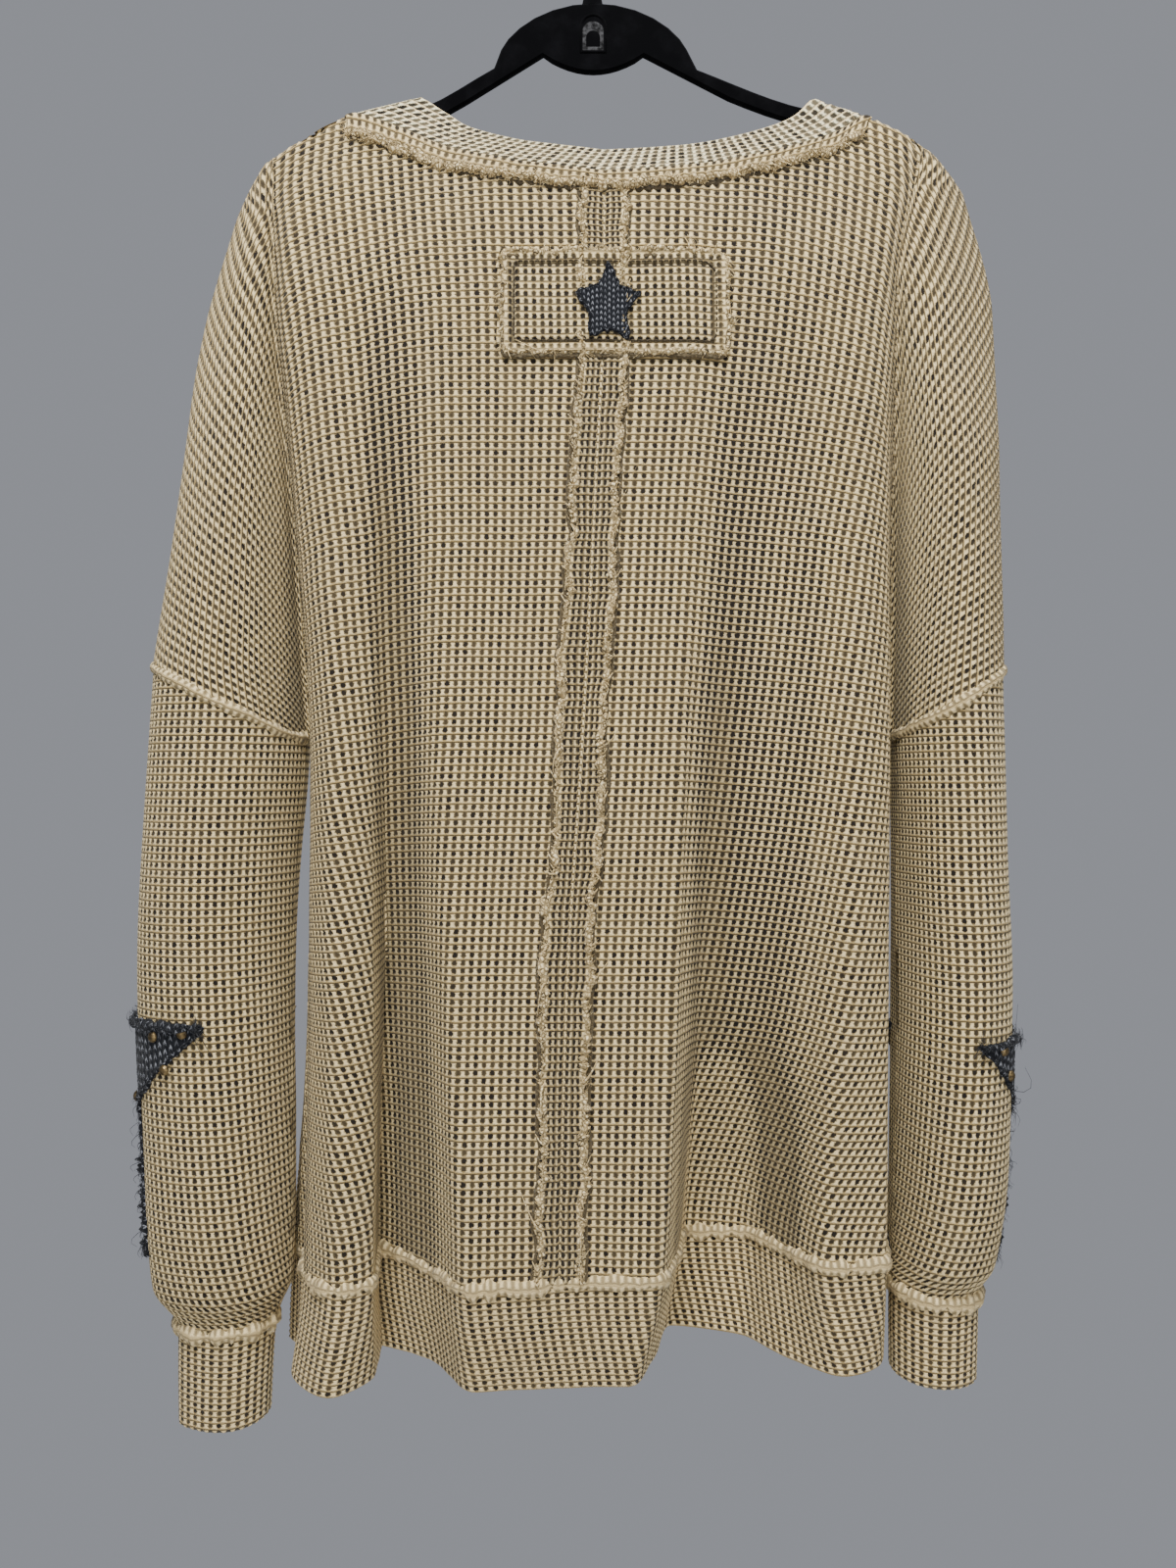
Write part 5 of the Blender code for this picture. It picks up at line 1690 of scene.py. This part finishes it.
    def star(self, finish: bpy.types.Material, loose: MeshMaker) -> None:
        """Make the star on the patch: a rib-knit shape with a fuzzy edge."""
        outline = star_line(0.58, 14) * np.array(self.star_size)
        share = np.linspace(0.0, 1.0, 16) ** 0.8
        rough = 1 + 0.03 * noise(outline, 5.0, 71) * (share[:, None] > 0.99)
        grid = outline[None] * share[:, None, None] * rough[..., None]
        found = nearest(self.sheet(), self.star_at[0] + grid[..., 0],
                        self.star_at[1] + grid[..., 1])
        points, normals = found[..., :3], found[..., 3:]
        x = points[..., 0]
        slack = self.weave.slack(points) + self.bulge(x)
        ribs = 0.28 * np.sin(x * 2 * math.pi / self.star_rib)
        outer = points + normals * (6.0 + slack + ribs)[..., None]
        inner = points + normals * (4.7 + slack)[..., None]
        maker = MeshMaker()
        maker.add_slab(outer, inner, pairs(x / self.star_rib, points[..., 2] / 3.5))
        rim, up = outer[-1], normals[-1]
        Roll(2.0, 1.3, 0.0, 1.6).add(loose, (rim - up)[:-1], up[:-1], closed=True)
        out = unit(np.insert(outline, 1, 0.0, axis=1))
        Fray(2.2, 0.28, 0.3, 0.9, 0.4, 0.0, 72).add(loose, rim - up * 0.4, out, up)
        item = maker.make("patch_star_knit", finish)
        declare(item, ["patch_star"])


def star_line(inner: float, per_edge: int) -> Grid:
    """Points round a five-point star of radius 1, one tip up, closed, (n, 2)."""
    angle = np.arange(11) * math.pi / 5
    radius = np.where(np.arange(11) % 2 == 0, 1.0, inner)
    corners = np.stack([radius * np.sin(angle), radius * np.cos(angle)], axis=-1)
    share = np.arange(per_edge)[:, None] / per_edge
    runs = [a * (1 - share) + b * share for a, b in zip(corners, corners[1:])]
    return np.concatenate(runs + [corners[:1]])


@dataclass(frozen=True)
class StarShape:
    """Sizes of one sleeve star (millimetres), as it lies round its sleeve.

    reach is how far its tip goes round to the back from the sleeve's outer edge,
    fold the width of its rolled upper arm, and legs are the curled lower points at
    the outer edge: top, bottom, width and height.
    """

    height: float
    squeeze: float
    reach: float
    fold: float
    seed: int
    legs: Tuple[Tuple[float, float, float, float], ...]
    radius: float = 108.0
    inner: float = 0.42
    drop: float = 0.24
    tall: float = 1.25
    rib: float = 3.8
    stitch: float = 5.4


STAR_LEFT = StarShape(-734.0, 0.9, 78.0, 6.0, 81,
                      ((-766.0, -851.0, 5.0, 4.2), (-793.0, -852.0, 9.0, 7.6)))
STAR_RIGHT = StarShape(-744.0, 0.82, 66.0, 4.2, 91, ((-814.0, -844.0, 6.0, 5.0),))
# Yarn ends of the sleeve stars: length, spacing, thickness, curl, lift and tone.
STAR_FRAYS = {"fuzz": (3.2, 0.6, 0.36, 0.9, 0.35, 0.0), "long": (9.0, 24.0, 0.34, 0.8, 0.25, 0.0),
              "tip": (2.4, 0.16, 0.42, 2.2, 0.8, 0.2), "fold": (1.9, 0.4, 0.42, 1.6, 0.6, 0.2),
              "leg": (2.6, 0.7, 0.4, 1.4, 0.6, 0.0)}


@dataclass
class SleeveStar:
    """A large rib-knit star that wraps round a sleeve, with frayed edges.

    bare, tip and fold are runs of points of its outline: the far tip without yarn
    ends, the tangle at the near tip, and the rolled edge of the upper arm.
    """

    side: str
    arm: Arm
    shape: StarShape
    outer: float = 3.4
    inner: float = 2.0
    bare: Tuple[int, int] = (165, 188)
    tip: Tuple[int, int] = (42, 47)
    fold: Tuple[int, int] = (25, 44)

    def sheet(self) -> Tuple[Grid, Grid, Grid]:
        """Points, normals and cells of the star on the sleeve, from its middle outwards.

        With x and z on a star of five points, it lies x * squeeze + drop * min(z, 0)
        round the sleeve, and its lower half is taller by the share tall.
        """
        shape = self.shape
        outline = star_line(shape.inner, 22)
        share = np.concatenate([np.linspace(0, 0.97, 34), [1.0]])
        ragged = 1 + 0.012 * noise(outline * 100, 9.0, shape.seed) * (share[:, None] > 0.95)
        grid = outline[None] * share[:, None, None] * shape.radius * ragged[..., None]
        below = np.minimum(grid[..., 1], 0.0)
        centre = shape.reach - shape.radius * shape.squeeze * math.sin(math.radians(72))
        reach = centre + grid[..., 0] * shape.squeeze + shape.drop * below
        height = shape.height + grid[..., 1] + (shape.tall - 1) * below
        points, normals = self.arm.wrap(reach.ravel(), height.ravel())
        size = (*reach.shape, 3)
        return (points.reshape(size), normals.reshape(size),
                np.stack([reach / shape.rib, height / shape.stitch], axis=-1))

    def build(self, finish: bpy.types.Material, loose: MeshMaker) -> None:
        """Make the star and its loose ends.

        Args:
            finish: The rib's material.
            loose: Mesh that takes the rolled edge and yarn ends.
        """
        points, normals, cells = self.sheet()
        seed = self.shape.seed
        slack = Weave(seed=11).slack(points)
        ribs = 0.35 * np.sin(cells[..., 0] * 2 * math.pi)
        outer = points + normals * (self.outer + slack + ribs)[..., None]
        inner = points + normals * (self.inner + slack)[..., None]
        maker = MeshMaker()
        maker.add_slab(outer, inner, cells)
        rim, up = outer[-1] - normals[-1], normals[-1]
        Roll(2.8, 1.7, 0.0, 1.8, seed).add(loose, rim[:-1], up[:-1], closed=True)
        self.loose_ends(loose, rim, unit(outer[-1] - outer[-6]), up)
        self.legs(loose)
        item = maker.make(f"sleeve_star_{self.side}_knit", finish)
        declare(item, ["sleeve_star_" + self.side])

    def loose_ends(self, loose: MeshMaker, rim: Grid, out: Grid, up: Grid) -> None:
        """Add the fuzz, the tangle at the near tip and the rolled edge of the upper arm."""
        seed = self.shape.seed
        some = np.r_[0:self.bare[0], self.bare[1]:len(rim)]
        for number, kind in enumerate(("fuzz", "long"), 1):
            Fray(*STAR_FRAYS[kind], seed + number).add(loose, (rim + up)[some], out[some],
                                                       up[some])
        tip, arm = slice(*self.tip), slice(*self.fold)
        Fray(*STAR_FRAYS["tip"], seed + 3).add(loose, (rim + up)[tip], out[tip], up[tip])
        fold = rim[arm] + up[arm] * 1.6
        fold[:, 2] += np.linspace(-3.5, 0.5, 19)
        Roll(self.shape.fold, self.shape.fold * 0.42, 0.1, 2.4, seed).add(loose, fold, up[arm])
        Fray(*STAR_FRAYS["fold"], seed + 4).add(loose, fold + up[arm] * 1.8, out[arm], up[arm])

    def legs(self, loose: MeshMaker) -> None:
        """Add the curled lower points at the sleeve's outer edge."""
        seed = self.shape.seed
        for top, low, width, height in self.shape.legs:
            leg, out = self.arm.wrap(np.zeros(70), np.linspace(top, low, 70))
            Roll(width, height, 0.0, 1.8, seed + 6).add(loose, leg + out * 2.6, out)
            Fray(*STAR_FRAYS["leg"], seed + 5).add(loose, leg + out * height,
                                                   np.broadcast_to(DOWN, leg.shape), out)


# ------------------------------------------------------------------ hanger details
@dataclass(frozen=True)
class HangerTrim:
    """The arched window in the hanger's crown, on both faces, and the collar of the hook.

    rim and tab are rows of (distance outside the window, height off the face); the
    collar is rows of (radius, height).
    """

    x: float = 4.4
    stem: float = 4.0
    top: float = -71.6
    low: float = -93.6
    half: float = 6.8
    face: float = 2.5
    rim: Tuple[Tuple[float, float], ...] = (
        (1.6, 0.0), (1.3, 0.55), (0.5, 0.7), (0.0, 0.45), (-0.3, 0.08))
    tab: Tuple[Tuple[float, float], ...] = ((0.0, 0.10), (-0.5, 0.12), (-1.9, 0.14), (-2.5, 0.10))
    tab_drop: float = 3.6
    hole_drop: float = 3.4
    collar_deep: float = 2.3
    collar: Tuple[Tuple[float, float], ...] = (
        (7.6, -64.0), (6.4, -62.6), (5.9, -60.0), (5.7, -57.0), (5.2, -55.6), (3.4, -55.0),
        (1.9, -54.8), (1.75, -54.2))

    def arch(self, grow: float, drop: float) -> Grid:
        """Closed line (n, 2) of the window with its round top, grown and with its top lowered."""
        half = self.half + grow
        turn = np.linspace(0, math.pi, 40)
        low = np.array([[self.x + half, self.low - grow], [self.x - half, self.low - grow]])
        middle = self.top - self.half - drop
        round_top = np.stack([self.x + half * np.cos(turn), middle + half * np.sin(turn)], -1)
        line = np.concatenate([low[:1], round_top, low[1:]])
        share = np.linspace(0, 1, 6)[1:-1, None]
        return np.concatenate([line, low[1:] * (1 - share) + low[:1] * share])

    def build(self, flock: bpy.types.Material, plate: bpy.types.Material) -> None:
        """Make the raised rim, the dull tab inside it with its hole, and the collar.

        Args:
            flock: Finish of the rim, the hole and the collar.
            plate: Finish of the tab.
        """
        rim, tab = MeshMaker(), MeshMaker()
        for side in (-1.0, 1.0):
            out = np.array([0.0, side, 0.0])
            for maker, rows, drop in ((rim, self.rim, 0.0), (tab, self.tab, self.tab_drop)):
                lines = [self.arch(grow, drop if grow > -1.5 else drop + self.hole_drop)
                         for grow, _ in rows]
                grid = np.stack([np.insert(line, 1, side * (self.face + high), axis=1)
                                 for line, (_, high) in zip(lines, rows)])
                maker.add_grid(grid, outward=out, closed=True)
            hole = self.arch(-2.4, self.tab_drop + self.hole_drop)
            flat = np.stack([hole * (1 - s) + hole.mean(axis=0) * s for s in (0.0, 0.5, 0.98)])
            rim.add_grid(np.insert(flat, 1, side * (self.face + 0.12), axis=2), outward=out,
                         closed=True)
        turn = np.linspace(0, 2 * math.pi, 41)[:-1]
        collar = np.array([np.stack([self.stem + r * np.cos(turn),
                                     min(r, self.collar_deep) * np.sin(turn),
                                     np.full_like(turn, z)], -1) for r, z in self.collar])
        rim.add_grid(collar, outward=collar - np.array([self.stem, 0.0, 0.0]), closed=True)
        declare(rim.make("hanger_window_rim", flock), [])
        declare(tab.make("hanger_window_tab", plate), [])


# ------------------------------------------------------------------ studio
@dataclass(frozen=True)
class Studio:
    """The camera at the photograph's place, soft lights and a plain pale floor."""

    eye: Tuple[float, float, float] = (0.0012, -0.75, -0.556)
    sensor: float = 36.0
    pixel: float = 0.00062
    rows: int = 1600
    floor: float = -1.6
    radius: float = 0.7
    sky: Colour = (0.28, 0.29, 0.32)
    lamps: Tuple[Tuple[str, Colour, float, float], ...] = (
        ("key", (-0.15, -1.2, 1.2), 0.7, 74.0), ("fill", (0.2, -2.2, -0.7), 1.8, 30.0),
        ("back", (0.4, 1.7, 0.8), 1.6, 36.0))

    def build(self) -> None:
        """Make the camera, the lights, the world and the floor."""
        camera = bpy.data.cameras.new("camera")
        camera.sensor_fit = "VERTICAL"
        camera.sensor_height = self.sensor
        camera.lens = self.sensor * abs(self.eye[1]) / (self.rows * self.pixel)
        view = bpy.data.objects.new("camera", camera)
        view.location = self.eye
        view.rotation_euler = (math.pi / 2, 0.0, 0.0)
        bpy.context.collection.objects.link(view)
        bpy.context.scene.camera = view
        for lamp in self.lamps:
            self.light(*lamp)
        world = bpy.data.worlds.new("studio")
        world.use_nodes = True
        world.node_tree.nodes["Background"].inputs[0].default_value = (*self.sky, 1.0)
        world.node_tree.nodes["Background"].inputs[1].default_value = 1.0
        bpy.context.scene.world = world
        self.ground()

    def light(self, name: str, place: Tuple[float, float, float], size: float,
              power: float) -> None:
        """Add a square area light that faces the middle of the object."""
        lamp = bpy.data.lights.new(name, "AREA")
        lamp.size, lamp.energy = size, power
        item = bpy.data.objects.new(name, lamp)
        item.location = place
        way = Vector((0.0, 0.0, -0.5)) - Vector(place)
        item.rotation_euler = way.to_track_quat("-Z", "Y").to_euler()
        bpy.context.collection.objects.link(item)

    def ground(self) -> None:
        """Make the floor: a round plate of rings of points below the object."""
        turn = np.linspace(0, 2 * math.pi, 65)[:-1]
        rings = np.array([0.0, 0.4, 0.8, 1.0]) * self.radius
        x, y = rings[:, None] * np.cos(turn), rings[:, None] * np.sin(turn)
        grid = np.stack([x, y, np.full_like(x, self.floor)], axis=-1) / MM
        maker = MeshMaker()
        maker.add_grid(grid, outward=-DOWN, closed=True)
        floor = maker.make("floor", PlainFinish("pale_floor", (0.72, 0.72, 0.70)).make())


def main() -> None:
    """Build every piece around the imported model."""
    logging.basicConfig(level=logging.INFO, format="%(message)s")
    body_knit, band_knit, neck_knit = BODY_KNIT.make(), BAND_KNIT.make(), NECK_KNIT.make()
    loops = LoopFinish().make()
    back = [Half(BACK_LEFT, ARM_LEFT, Face.BACK, Side.LEFT),
            Half(BACK_RIGHT, ARM_RIGHT, Face.BACK, Side.RIGHT)]
    front = [Half(FRONT_LEFT, ARM_LEFT, Face.FRONT, Side.LEFT),
             Half(FRONT_RIGHT, ARM_RIGHT, Face.FRONT, Side.RIGHT)]
    halves = back + front
    loose, rolls, dark = MeshMaker(), MeshMaker(), MeshMaker()
    BodyPiece("back_left", back[:1], (0.42, 0.73), 0.211).build(body_knit)
    BodyPiece("back_right", back[1:], (0.42, 0.73), 0.211).build(body_knit)
    BodyPiece("front", front, (0.82, 0.70), 0.33).build(body_knit)
    arms = {"left": Arm(ARM_LEFT), "right": Arm(ARM_RIGHT)}
    for name, arm in arms.items():
        SleevePiece(name, arm).build(body_knit, rolls)
        cuff = Band("cuff_" + name, (0.19, 0.058), Weave(across=5.6, down=3.8, relief=0.5),
                    ["sleeve_" + name], Roll(10.5, 4.0, 0.5, 1.8))
        cuff.build(arm.tube(arm.seam, arm.end, cuff.weave.down / 2), band_knit, rolls)
    hem = Band("hem_band", (1.2, 0.062), Weave(across=5.8, down=3.6, relief=0.5),
               ["back_left"], Roll(8.0, 3.0, 0.5, 1.8))
    levels = np.arange(LEVELS["hem"], LEVELS["hem_end"] - 0.5, -hem.weave.down / 2)
    hem.build(body_rows(halves, levels), band_knit, rolls)
    neck = Weave(across=6.2, down=3.1, relief=0.45, wrinkle=0.2)
    Band("neckband", (0.72, 0.023), neck, ["hanger"]).build(
        neck_rows(halves, np.linspace(0.02, 1.0, 13)), neck_knit)
    NeckEdge("neck_edge_back", *back, 0.0043).build(band_knit, loose)
    NeckEdge("neck_edge_front", *front, 0.0026).build(band_knit, loose)
    SeamStrip("seam_strip_left", back[0]).build(body_knit, loose)
    SeamStrip("seam_strip_right", back[1]).build(body_knit, loose)
    rib = RibFinish().make()
    patch = BackPatch(*back)
    patch.build(body_knit, loose)
    patch.star(rib, dark)
    SleeveStar("left", arms["left"], STAR_LEFT).build(rib, dark)
    SleeveStar("right", arms["right"], STAR_RIGHT).build(rib, dark)
    declare(loose.make("frayed_edges", loops), [])
    declare(rolls.make("seam_rolls", body_knit), [])
    declare(dark.make("star_edges_and_yarn", rib), [])
    flock = FlockFinish().make()
    HangerTrim().build(flock, TAB.make())
    solid = {"hanger": flock, "hook": WIRE.make(), "stud": BRASS.make()}
    for name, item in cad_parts.items():
        item.data.materials.clear()
        item.data.materials.append(solid.get(name.split("_")[0], body_knit))
    Studio().build()


if __name__ == "__main__":
    main()
